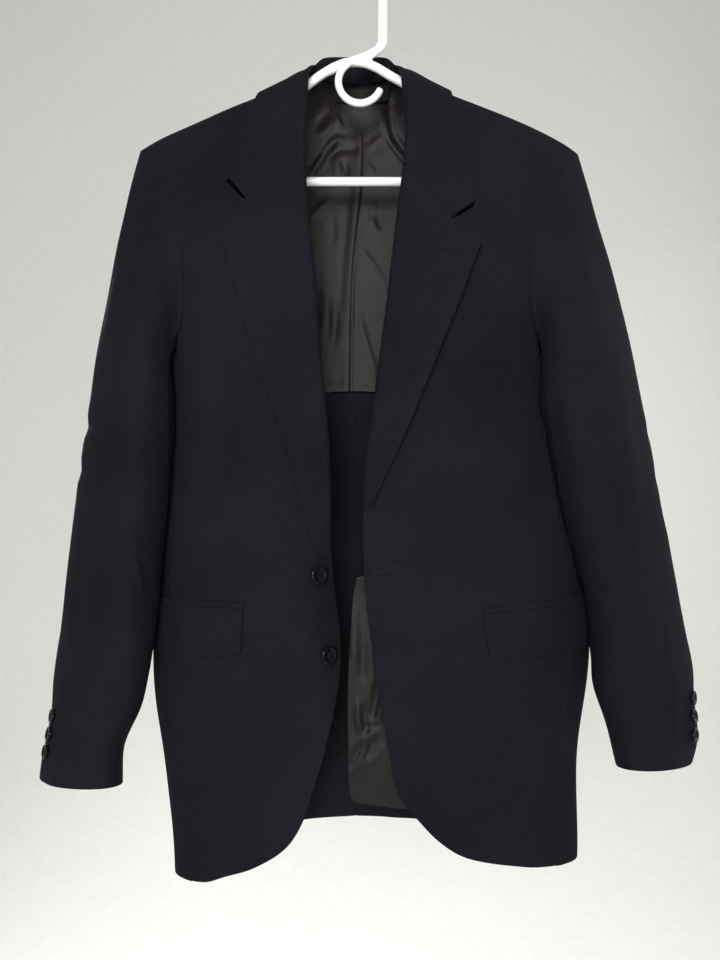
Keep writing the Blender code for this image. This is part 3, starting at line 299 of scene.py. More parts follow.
class Nodes:
    """Short calls to place nodes in a tree and to join them."""

    def __init__(self, tree: bpy.types.NodeTree) -> None:
        """Keep the tree."""
        self.tree = tree

    def add(
        self, kind: str, inputs: dict[Any, Any] | None = None, **settings: Any
    ) -> bpy.types.Node:
        """Place a node, then set or link its inputs.

        Args:
            kind: the node's type.
            inputs: a value, or the socket to link, for each input by name or number.
            settings: values for the node's own properties.

        Returns:
            The new node.
        """
        node = self.tree.nodes.new(kind)
        for name, value in settings.items():
            setattr(node, name, value)
        for key, value in (inputs or {}).items():
            if isinstance(value, bpy.types.NodeSocket):
                self.tree.links.new(value, node.inputs[key])
            else:
                node.inputs[key].default_value = value
        return node

    def sum(self, operation: str, first: Any, second: Any = 0.0) -> bpy.types.NodeSocket:
        """Return the result of a Math node on two values or sockets."""
        return self.add("ShaderNodeMath", {0: first, 1: second}, operation=operation).outputs[0]

    def spread(self, value: Any, ends: Place, onto: Place) -> bpy.types.NodeSocket:
        """Return a value moved from one range onto another, and held inside it."""
        inputs = {0: value, 1: ends[0], 2: ends[1], 3: onto[0], 4: onto[1]}
        return self.add("ShaderNodeMapRange", inputs, clamp=True).outputs[0]

    def blend(self, share: Any, first: Any, second: Any) -> bpy.types.NodeSocket:
        """Return a colour between two colours or colour sockets."""
        first = first if isinstance(first, bpy.types.NodeSocket) else (*first, 1.0)
        second = second if isinstance(second, bpy.types.NodeSocket) else (*second, 1.0)
        inputs = {0: share, 6: first, 7: second}
        return self.add("ShaderNodeMix", inputs, data_type="RGBA").outputs[2]

    def noise(self, vector: Any, scale: float, detail: float = 3.0) -> bpy.types.NodeSocket:
        """Return the value of a noise texture."""
        inputs = {"Vector": vector, "Scale": scale, "Detail": detail}
        return self.add("ShaderNodeTexNoise", inputs).outputs[0]

    def group(self, tree: bpy.types.NodeTree, inputs: dict[str, Any]) -> bpy.types.Node:
        """Return a new node that holds a node group."""
        return self.add("ShaderNodeGroup", inputs, node_tree=tree)


def new_group(name: str, takes: dict[str, str], gives: dict[str, str]) -> tuple[Nodes, Any, Any]:
    """Start a shader node group.

    Args:
        name: the group's name.
        takes: the kind of socket for each input.
        gives: the kind of socket for each output.

    Returns:
        The group's nodes, its input node and its output node.
    """
    tree = bpy.data.node_groups.new(name, "ShaderNodeTree")
    for key, kind in takes.items():
        tree.interface.new_socket(key, in_out="INPUT", socket_type=kind)
    for key, kind in gives.items():
        tree.interface.new_socket(key, in_out="OUTPUT", socket_type=kind)
    nodes = Nodes(tree)
    return nodes, nodes.add("NodeGroupInput"), nodes.add("NodeGroupOutput")


@dataclass(frozen=True)
class Effects:
    """The node groups that several finishes share."""

    weave: bpy.types.NodeTree
    mottle: bpy.types.NodeTree
    wear: bpy.types.NodeTree

    @classmethod
    def build(cls) -> "Effects":
        """Build the three groups once."""
        return cls(cls._weave(), cls._mottle(), cls._wear())

    @staticmethod
    def _weave() -> bpy.types.NodeTree:
        """Return a weave: slanted ribs crossed by finer threads, with uneven yarn."""
        takes = {"Vector": "NodeSocketVector"} | dict.fromkeys(("Ribs", "Threads", "Slub"), NUMBER)
        nodes, into, out = new_group("weave", takes, {"Height": NUMBER, "Yarn": NUMBER})
        vector = into.outputs["Vector"]
        bands = []
        plan = (("Ribs", "DIAGONAL", 0.6, 0.6), ("Threads", "X", 0.4, 0.3))
        for name, way, wobble, share in plan:
            inputs = {"Vector": vector, "Scale": into.outputs[name], "Distortion": wobble}
            wave = nodes.add("ShaderNodeTexWave", inputs, wave_type="BANDS", bands_direction=way)
            bands.append(nodes.sum("MULTIPLY", wave.outputs["Fac"], share))
        inputs = {"Vector": vector, "Scale": (1.0, 0.12, 1.0)}
        yarn = nodes.noise(nodes.add("ShaderNodeMapping", inputs).outputs[0], 1500.0, 2.0)
        uneven = nodes.sum("MULTIPLY", yarn, into.outputs["Slub"])
        height = nodes.sum("ADD", nodes.sum("ADD", *bands), uneven)
        nodes.tree.links.new(height, out.inputs["Height"])
        nodes.tree.links.new(yarn, out.inputs["Yarn"])
        return nodes.tree

    @staticmethod
    def _mottle() -> bpy.types.NodeTree:
        """Return a slow unevenness of tone with a finer one inside it."""
        takes = {"Vector": "NodeSocketVector", "Broad": NUMBER, "Fine": NUMBER}
        nodes, into, out = new_group("mottle", takes, {"Tone": NUMBER})
        broad = nodes.noise(into.outputs["Vector"], into.outputs["Broad"], 3.0)
        fine = nodes.noise(into.outputs["Vector"], into.outputs["Fine"], 2.0)
        shared = nodes.sum("MULTIPLY", nodes.sum("ADD", broad, fine), 0.5)
        tone = nodes.spread(shared, (0.36, 0.64), (0.0, 1.0))
        nodes.tree.links.new(tone, out.inputs["Tone"])
        return nodes.tree

    @staticmethod
    def _wear() -> bpy.types.NodeTree:
        """Return a mask of the rubbed edge, from a piece's own distance to its rim in mm."""
        takes = {"Rim": NUMBER, "Width": NUMBER, "Vector": "NodeSocketVector"}
        nodes, into, out = new_group("edge_wear", takes, {"Mask": NUMBER})
        share = nodes.sum("DIVIDE", into.outputs["Rim"], into.outputs["Width"])
        edge = nodes.spread(share, (0.15, 1.0), (1.0, 0.0))
        broken = nodes.spread(nodes.noise(into.outputs["Vector"], 140.0), (0.35, 0.65), (0.3, 1.0))
        nodes.tree.links.new(nodes.sum("MULTIPLY", edge, broken), out.inputs["Mask"])
        return nodes.tree


@dataclass
class Recipe:
    """One material under way: its nodes, its coordinates and its shader."""

    name: str
    effects: Effects
    shader_values: dict[str, Any]

    def __post_init__(self) -> None:
        """Place the coordinates, the shader and the output."""
        self.material = bpy.data.materials.new(self.name)
        self.material.use_nodes = True
        self.material.node_tree.nodes.clear()
        self.nodes = Nodes(self.material.node_tree)
        place = self.nodes.add("ShaderNodeTexCoord")
        self.object = place.outputs["Object"]
        self.cut = place.outputs["UV"]
        self.shader = self.nodes.add("ShaderNodeBsdfPrincipled", self.shader_values)
        self.nodes.add("ShaderNodeOutputMaterial", {"Surface": self.shader.outputs[0]})

    def feed(self, name: str, socket: bpy.types.NodeSocket) -> None:
        """Link a socket to one of the shader's inputs."""
        self.nodes.tree.links.new(socket, self.shader.inputs[name])

    def bump(self, height: bpy.types.NodeSocket, strength: float, depth: float) -> None:
        """Turn a height into the shader's normal."""
        inputs = {"Height": height, "Strength": strength, "Distance": depth}
        self.feed("Normal", self.nodes.add("ShaderNodeBump", inputs).outputs[0])

    def rim(self) -> bpy.types.NodeSocket:
        """Return the piece's distance from its rim, in mm."""
        return self.nodes.add("ShaderNodeAttribute", attribute_name="rim").outputs["Fac"]

    def weave(self, ribs: float, threads: float, slub: float) -> bpy.types.Node:
        """Return the weave laid on the cut cloth."""
        inputs = {"Vector": self.cut, "Ribs": ribs, "Threads": threads, "Slub": slub}
        return self.nodes.group(self.effects.weave, inputs)

    def tone(self, broad: float, fine: float, vector: Any = None) -> bpy.types.NodeSocket:
        """Return an uneven tone on the object's own coordinates, or on another vector."""
        inputs = {"Vector": self.object if vector is None else vector, "Broad": broad, "Fine": fine}
        return self.nodes.group(self.effects.mottle, inputs).outputs["Tone"]

    def colour(self, share: Any, first: Any, second: Any) -> None:
        """Feed the shader a colour between two."""
        self.feed("Base Color", self.nodes.blend(share, first, second))

    def roughness(self, value: Any, ends: Place, onto: Place) -> None:
        """Feed the shader a roughness, moved from one range onto another."""
        self.feed("Roughness", self.nodes.spread(value, ends, onto))


# ---- finishes


@dataclass(frozen=True)
class Worsted:
    """Midnight navy worsted twill, a little hairy, with a faint polish along its pressed edges."""

    name: str = "navy_worsted"
    dark: Colour = (0.0041, 0.0044, 0.0064)
    light: Colour = (0.0076, 0.0080, 0.0112)
    rubbed: Colour = (0.0110, 0.0116, 0.0155)
    rib_pitch: float = 0.0007
    thread_pitch: float = 0.00042

    def material(self, effects: Effects) -> bpy.types.Material:
        """Return the finish as a material."""
        values = {"IOR": 1.45, "Specular IOR Level": 0.06, "Sheen Weight": 0.008}
        values |= {"Sheen Roughness": 0.5, "Sheen Tint": (0.6, 0.66, 0.85, 1.0)}
        made = Recipe(self.name, effects, values)
        nodes = made.nodes
        weave = made.weave(WAVE_PERIOD / self.rib_pitch, WAVE_PERIOD / self.thread_pitch, 0.5)
        tone = made.tone(9.0, 420.0)
        wear = nodes.group(effects.wear, {"Rim": made.rim(), "Width": 2.6, "Vector": made.object})
        heather = nodes.sum("MULTIPLY", weave.outputs["Yarn"], 0.55)
        share = nodes.sum("ADD", heather, nodes.sum("MULTIPLY", tone, 0.45))
        cloth = nodes.blend(nodes.spread(share, (0.25, 0.75), (0.0, 1.0)), self.dark, self.light)
        rub = nodes.sum("MULTIPLY", wear.outputs["Mask"], 0.35)
        made.colour(rub, cloth, self.rubbed)
        rough = nodes.spread(weave.outputs["Yarn"], (0.3, 0.7), (0.74, 0.9))
        made.feed("Roughness", nodes.sum("SUBTRACT", rough, nodes.sum("MULTIPLY", rub, 0.4)))
        made.bump(weave.outputs["Height"], 0.55, 0.00028)
        return made.material


@dataclass(frozen=True)
class Satin:
    """Thin lining satin: fine lengthwise threads, a soft gloss and a slightly uneven dye."""

    name: str
    dark: Colour
    light: Colour
    roughness: Place = (0.34, 0.5)

    def material(self, effects: Effects) -> bpy.types.Material:
        """Return the finish as a material."""
        values = {"IOR": 1.5, "Specular IOR Level": 0.21, "Anisotropic": 0.35}
        made = Recipe(self.name, effects, values)
        nodes = made.nodes
        weave = made.weave(900.0, 1500.0, 0.35)
        made.colour(made.tone(14.0, 260.0), self.dark, self.light)
        made.roughness(weave.outputs["Yarn"], (0.3, 0.7), self.roughness)
        cockle = nodes.noise(made.object, 75.0, 2.0)
        height = nodes.sum("ADD", nodes.sum("MULTIPLY", cockle, 5.0), weave.outputs["Height"])
        made.bump(height, 0.4, 0.00022)
        return made.material


@dataclass(frozen=True)
class WovenLabel:
    """A dense woven label: plain dark olive ground with one narrow border line."""

    name: str = "woven_label"
    ground: Colour = (0.0050, 0.0051, 0.0034)
    line: Colour = (0.0190, 0.0190, 0.0135)

    def material(self, effects: Effects) -> bpy.types.Material:
        """Return the finish as a material."""
        values = {"IOR": 1.47, "Specular IOR Level": 0.12, "Sheen Weight": 0.02}
        made = Recipe(self.name, effects, values)
        nodes = made.nodes
        weave = made.weave(700.0, 1100.0, 0.3)
        rim = made.rim()
        inner = nodes.spread(rim, (1.3, 1.5), (0.0, 1.0))
        outer = nodes.spread(rim, (1.9, 2.1), (1.0, 0.0))
        border = nodes.sum("MULTIPLY", nodes.sum("MULTIPLY", inner, outer), 0.7)
        lighter = tuple(1.5 * part for part in self.ground)
        made.colour(border, nodes.blend(made.tone(40.0, 700.0), self.ground, lighter), self.line)
        made.roughness(weave.outputs["Yarn"], (0.3, 0.7), (0.45, 0.62))
        made.bump(weave.outputs["Height"], 0.5, 0.0002)
        return made.material


@dataclass(frozen=True)
class Horn:
    """Polished dark horn-like buttons with faint streaks."""

    name: str = "dark_horn"
    dark: Colour = (0.0016, 0.0018, 0.0026)
    light: Colour = (0.0040, 0.0043, 0.0058)

    def material(self, effects: Effects) -> bpy.types.Material:
        """Return the finish as a material."""
        values = {"IOR": 1.5, "Specular IOR Level": 0.09, "Coat Weight": 0.1}
        values |= {"Coat Roughness": 0.05}
        made = Recipe(self.name, effects, values)
        nodes = made.nodes
        turned = nodes.add("ShaderNodeMapping", {"Vector": made.object, "Scale": (1.0, 1.0, 0.25)})
        tone = made.tone(260.0, 1300.0, turned.outputs[0])
        made.colour(tone, self.dark, self.light)
        made.roughness(tone, (0.0, 1.0), (0.14, 0.24))
        made.bump(nodes.noise(made.object, 1600.0, 2.0), 0.12, 0.0001)
        return made.material


@dataclass(frozen=True)
class MouldedPlastic:
    """White moulded plastic: smooth and glossy, with a mould line and faint handling marks."""

    name: str = "white_moulded_plastic"
    clean: Colour = (0.76, 0.77, 0.75)
    soiled: Colour = (0.69, 0.695, 0.66)

    def material(self, effects: Effects) -> bpy.types.Material:
        """Return the finish as a material."""
        values = {"IOR": 1.5, "Specular IOR Level": 0.5, "Subsurface Weight": 0.05}
        values |= {"Subsurface Radius": (0.004, 0.004, 0.004)}
        made = Recipe(self.name, effects, values)
        nodes = made.nodes
        tone = made.tone(22.0, 300.0)
        made.colour(nodes.spread(tone, (0.55, 1.0), (0.0, 0.5)), self.clean, self.soiled)
        made.roughness(tone, (0.0, 1.0), (0.24, 0.4))
        axes = nodes.add("ShaderNodeSeparateXYZ", {0: made.object})
        seam = nodes.spread(nodes.sum("ABSOLUTE", axes.outputs[1]), (0.0001, 0.00035), (1.0, 0.0))
        skin = nodes.sum("MULTIPLY", nodes.noise(made.object, 500.0, 2.0), 0.25)
        made.bump(nodes.sum("ADD", seam, skin), 0.25, 0.00018)
        return made.material


@dataclass(frozen=True)
class SilkThread:
    """Twisted silk thread, or, when gloss (the specular level) is nothing, a matt felt for painted
    shadow.
    """

    name: str = "silk_thread"
    shade: Colour = (0.0040, 0.0043, 0.0060)
    lit: Colour = (0.0120, 0.0130, 0.0170)
    gloss: float = 0.07

    def material(self, effects: Effects) -> bpy.types.Material:
        """Return the finish as a material."""
        made = Recipe(self.name, effects, {"IOR": 1.5, "Specular IOR Level": self.gloss})
        tone = made.tone(900.0, 4000.0)
        made.colour(tone, self.shade, self.lit)
        made.roughness(tone, (0.0, 1.0), (0.42, 0.6))
        made.bump(made.nodes.noise(made.object, 5000.0, 2.0), 0.4, 0.0001)
        return made.material


@dataclass(frozen=True)
class StudioPaint:
    """Matt pale paint for the floor and the backdrop."""

    name: str = "pale_paint"
    shade: Colour = (0.78, 0.77, 0.75)
    light: Colour = (0.82, 0.81, 0.79)

    def material(self, effects: Effects) -> bpy.types.Material:
        """Return the finish as a material."""
        made = Recipe(self.name, effects, {"IOR": 1.45, "Specular IOR Level": 0.2})
        tone = made.tone(0.6, 30.0)
        made.colour(tone, self.shade, self.light)
        made.roughness(tone, (0.0, 1.0), (0.8, 0.9))
        return made.material


@dataclass(frozen=True)
class Finishes:
    """Every material of the object and of its studio."""

    wool: bpy.types.Material
    lining: bpy.types.Material
    front_lining: bpy.types.Material
    label: bpy.types.Material
    horn: bpy.types.Material
    plastic: bpy.types.Material
    thread: bpy.types.Material
    dark_thread: bpy.types.Material
    notch_shadow: bpy.types.Material
    paint: bpy.types.Material

    @classmethod
    def build(cls) -> "Finishes":
        """Build the shared effects, then each finish."""
        effects = Effects.build()
        tonal = SilkThread("tonal_thread", (0.0050, 0.0054, 0.0074), (0.012, 0.0130, 0.0175))
        # Near-black matt felt: painted shadow in the notch gaps, partly the under-collar felt.
        black = SilkThread("black_melton_painted_shadow", (0.0004, 0.0004, 0.0005), (0.0010, 0.0010, 0.0012), 0.0)
        # The front lining's satin is darker than the back lining's: its own olive tint plus painted
        # shade of the jacket's inside.
        olive = Satin("olive_satin_shaded", (0.0029, 0.0027, 0.0021), (0.0049, 0.0046, 0.0036))
        finishes = {
            "wool": Worsted(),
            "lining": Satin("taupe_satin", (0.0062, 0.0050, 0.0046), (0.0118, 0.0095, 0.0089)),
            "front_lining": olive,
            "label": WovenLabel(),
            "horn": Horn(),
            "plastic": MouldedPlastic(),
            "thread": SilkThread(),
            "dark_thread": tonal,
            "notch_shadow": black,
            "paint": StudioPaint(),
        }
        return cls(**{name: finish.material(effects) for name, finish in finishes.items()})


# ---- cloth


def merged_copy(node: str) -> bmesh.types.BMesh:
    """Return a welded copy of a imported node's mesh, with its triangles paired into quads."""
    mesh = bmesh.new()
    mesh.from_mesh(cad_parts[node].data)
    bmesh.ops.remove_doubles(mesh, verts=mesh.verts, dist=WELD)
    bmesh.ops.join_triangles(
        mesh, faces=mesh.faces, angle_face_threshold=PAIR_BEND, angle_shape_threshold=PAIR_SHAPE
    )
    bmesh.ops.recalc_face_normals(mesh, faces=mesh.faces)
    return mesh


def new_object(name: str, mesh: bmesh.types.BMesh) -> bpy.types.Object:
    """Make an object at the origin from a bmesh, and free the bmesh."""
    data = bpy.data.meshes.new(name)
    mesh.to_mesh(data)
    mesh.free()
    made = bpy.data.objects.new(name, data)
    bpy.context.scene.collection.objects.link(made)
    return made


def bake_modifiers(piece: bpy.types.Object) -> None:
    """Apply every modifier of a piece to its mesh."""
    bpy.context.view_layer.update()
    seen = piece.evaluated_get(bpy.context.evaluated_depsgraph_get())
    fresh = bpy.data.meshes.new_from_object(seen)
    piece.modifiers.clear()
    old = piece.data
    piece.data = fresh
    bpy.data.meshes.remove(old)
    fresh.name = piece.name


def dress(piece: bpy.types.Object, material: bpy.types.Material, slot: str, *nodes: str) -> None:
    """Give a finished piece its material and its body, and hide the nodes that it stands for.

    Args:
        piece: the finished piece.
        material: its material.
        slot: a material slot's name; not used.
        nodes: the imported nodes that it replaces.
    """
    piece.data.materials.clear()
    piece.data.materials.append(material)
    piece.data.shade_smooth()
    piece.data.set_sharp_from_angle(angle=SMOOTH_ANGLE)
    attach(piece, "root")
    if nodes:
        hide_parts(*nodes)
    LOG.info("%s: %d faces", piece.name, len(piece.data.polygons))


@dataclass(frozen=True)
class Cut:
    """The size that a piece was cut to, in metres and square metres."""

    width: float
    length: float
    area: float


@dataclass
class ClothShell:
    """A cloth piece grown from the plain solid of the same cut.

    WALL is the longest edge, in metres, that counts as the wall's.
    """

    node: str
    levels: int = 2
    seam: float = 0.28
    rim_crease: float = 0.85

    WALL = 0.0034
    RIM_REACH = 8.0

    def __post_init__(self) -> None:
        """Copy the node's mesh, close its seams, hold its rim and round its faces."""
        mesh = merged_copy(self.node)
        self.close_seams(mesh)
        held = mesh.edges.layers.float.new("crease_edge")
        for edge in mesh.edges:
            if edge.calc_face_angle(0.0) > RIM_ANGLE:
                edge[held] = self.rim_crease
        self.piece = new_object(self.node + "_cloth", mesh)
        levels = self.levels
        rounding = self.piece.modifiers.new("rounding", "SUBSURF")
        rounding.levels = rounding.render_levels = levels
        bake_modifiers(self.piece)
        self.at_rest = self.points()

    def close_seams(self, mesh: bmesh.types.BMesh) -> None:
        """Push the narrow walls round the rim outwards, so that sewn neighbours meet."""
        pushes: dict[bmesh.types.BMVert, Vector] = {}
        for face in mesh.faces:
            sharp = [edge for edge in face.edges if edge.calc_face_angle(0.0) > RIM_ANGLE]
            if len(sharp) >= 2 and min(edge.calc_length() for edge in face.edges) < self.WALL:
                for vert in face.verts:
                    pushes[vert] = pushes.get(vert, Vector()) + face.normal
        for vert, way in pushes.items():
            if way.length > 0.0:
                vert.co += way.normalized() * self.seam * MM

    def points(self) -> np.ndarray:
        """Return the mesh's points, in mm."""
        flat = np.empty(len(self.piece.data.vertices) * 3)
        self.piece.data.vertices.foreach_get("co", flat)
        return flat.reshape(-1, 3) / MM

    def move(self, offsets: np.ndarray) -> None:
        """Move the mesh's points by offsets in mm."""
        moved = (self.points() + offsets) * MM
        self.piece.data.vertices.foreach_set("co", moved.ravel())
        self.piece.data.update()

    def chart(self, places: np.ndarray, wrap: float = 0.0) -> None:
        """Lay the weave on the piece.

        Args:
            places: the place of each point on the cut cloth, in mm.
            wrap: the length, in mm, at which the first axis starts again, or 0.
        """
        data = self.piece.data
        corners = np.empty(len(data.loops), np.int32)
        data.loops.foreach_get("vertex_index", corners)
        laid = places[corners].copy()
        if wrap:
            across = laid[:, 0].reshape(-1, 4)
            torn = np.ptp(across, axis=1) > wrap / 2
            across[torn] = np.where(across[torn] < 0.0, across[torn] + wrap, across[torn])
            laid[:, 0] = across.ravel()
        layer = data.uv_layers.new(name="cut")
        layer.data.foreach_set("uv", (laid * MM).ravel())

    def mark_rim(self) -> None:
        """Store each point's distance from the piece's rim, in mm, held at RIM_REACH."""
        data = self.piece.data
        data.set_sharp_from_angle(angle=SMOOTH_ANGLE)
        sharp = np.zeros(len(data.edges), bool)
        data.attributes["sharp_edge"].data.foreach_get("value", sharp)
        ends = np.empty(len(data.edges) * 2, np.int32)
        data.edges.foreach_get("vertices", ends)
        rim = np.unique(ends.reshape(-1, 2)[sharp])
        places = self.points()
        far = np.full(len(places), self.RIM_REACH)
        if len(rim):
            tree = KDTree(len(rim))
            for number in rim:
                tree.insert(places[number], int(number))
            tree.balance()
            far = np.minimum(far, [tree.find(place)[2] for place in places])
        store = data.attributes.new("rim", "FLOAT", "POINT")
        store.data.foreach_set("value", far)

    def finish(
        self, material: bpy.types.Material, slot: str, cut: Cut, on: Sequence[str] = ()
    ) -> None:
        """Dress the piece.

        Args:
            material: its material.
            slot: a material slot's name.
            cut: the size that it was cut to; not used.
            on: the names of what it rests on; not used.
        """
        self.mark_rim()
        dress(self.piece, material, slot, self.node)


def flat_chart(points: np.ndarray, grain: Grain) -> np.ndarray:
    """Return the places of points on a flat chart, in mm."""
    return points[:, list(grain.value)]


@dataclass
class Body:
    """The fronts, side bodies and backs, with everything that lies flat on them.

    The FLANK values, in mm, say where the flanks swell towards the sleeves, and by how much. Each
    row of LAPEL_FEET says from which height, over which run and how far along X a lapel's foot
    moves to meet the front edge. SEAMS has the seams that are pushed out by more than the others.
    """

    finishes: Finishes
    folds: tuple[FoldChart, ...] = (BODY_FRONT, BODY_BACK)
    stand_off: dict[str, tuple[Crease, ...]] = field(
        default_factory=lambda: {
            "left_lapel": crease_table(
                (((128, -306), (102, -366), (76, -427), (28, -547)), 20, 7.5, 0.0, 0.3),
            ),
            "right_lapel": crease_table(
                (((-140, -281), (-127, -330), (-114, -386), (-96, -447)), 13, 1.5, 0.0, 0.6),
            ),
            "collar": crease_table(
                (((121, -266), (112, -230), (100, -190)), 12, 3.2, 0.0, 0.7),
                (((-128, -243), (-118, -212), (-104, -180)), 11, 2.0, 0.0, 0.7),
            ),
            "breast_welt": crease_table(
                (((92, -466), (135, -459), (178, -452)), 10, -1.0, 0.0, 0.0),
            ),
        }
    )
    cuts: dict[str, tuple[Cut, int, Grain]] = field(
        default_factory=lambda: {
            "right_front": (Cut(0.26, 0.87, 0.131), 3, Grain.FACING),
            "left_front": (Cut(0.27, 0.87, 0.146), 3, Grain.FACING),
            "right_side_body": (Cut(0.115, 0.57, 0.055), 2, Grain.FLANK),
            "left_side_body": (Cut(0.115, 0.56, 0.057), 2, Grain.FLANK),
            "right_back": (Cut(0.26, 0.88, 0.153), 2, Grain.FACING),
            "left_back": (Cut(0.27, 0.87, 0.167), 2, Grain.FACING),
            "right_lapel": (Cut(0.13, 0.42, 0.022), 3, Grain.FACING),
            "left_lapel": (Cut(0.13, 0.36, 0.0192), 3, Grain.FACING),
            "collar": (Cut(0.10, 0.46, 0.0362), 3, Grain.FACING),
            "right_flap": (Cut(0.065, 0.15, 0.0081), 3, Grain.FACING),
            "left_flap": (Cut(0.065, 0.15, 0.0080), 3, Grain.FACING),
            "right_pocket_jet": (Cut(0.012, 0.15, 0.0010), 2, Grain.FACING),
            "left_pocket_jet": (Cut(0.012, 0.15, 0.0010), 2, Grain.FACING),
            "breast_welt": (Cut(0.026, 0.085, 0.0019), 3, Grain.FACING),
        }
    )

    FLANK_FROM = 115.0
    FLANK_RUN = 60.0
    FLANK_TOP = -370.0
    FLANK_FOOT = -870.0
    FLANK_FADE = 150.0
    FLANK_SWELL = 5.5
    LAPEL_FEET = {"left_lapel": (-525.0, 50.0, 2.8), "right_lapel": (-575.0, 54.0, -2.6)}
    SEAMS = dict.fromkeys(("collar", "right_lapel", "left_lapel", "right_back", "left_back"), 0.6)

    def build(self) -> dict[str, ClothShell]:
        """Grow, fold and dress every piece of the body.

        Returns:
            The shells by the names of their nodes.
        """
        shells = {}
        for node, (cut, levels, grain) in self.cuts.items():
            shell = ClothShell(node, levels, self.SEAMS.get(node, ClothShell.seam))
            shell.move(self.push(shell.at_rest))
            if node in self.stand_off:
                shell.move(self.lifted(shell.at_rest, self.stand_off[node]))
            if node in self.LAPEL_FEET:
                shell.move(self.taper(node, shell.at_rest))
            shell.chart(flat_chart(shell.at_rest, grain))
            shell.finish(self.finishes.wool, "wool_cloth", cut, ("hanger_moulding",))
            shells[node] = shell
        return shells

    def taper(self, node: str, points: np.ndarray) -> np.ndarray:
        """Return the move that runs a lapel's foot into the front edge below it, in mm."""
        move = np.zeros_like(points)
        start, run, way = self.LAPEL_FEET[node]
        move[:, 0] += way * ease((start - points[:, 2]) / run)
        return move

    def push(self, points: np.ndarray) -> np.ndarray:
        """Return the move of points of the body under all its folds, in mm."""
        move = sum(chart.push(points) for chart in self.folds)
        aside = ease((np.abs(points[:, 0]) - self.FLANK_FROM) / self.FLANK_RUN)
        height = ease((self.FLANK_TOP - points[:, 2]) / self.FLANK_FADE)
        height *= ease((points[:, 2] - self.FLANK_FOOT) / self.FLANK_FADE)
        move[:, 0] += np.sign(points[:, 0]) * self.FLANK_SWELL * aside * height
        return move

    @staticmethod
    def lifted(points: np.ndarray, edges: Sequence[Crease]) -> np.ndarray:
        """Return the move that lets a turned edge spring off the chest, in mm."""
        move = np.zeros_like(points)
        move[:, 1] = -total_lift(edges, flat_chart(points, Grain.FACING))
        return move


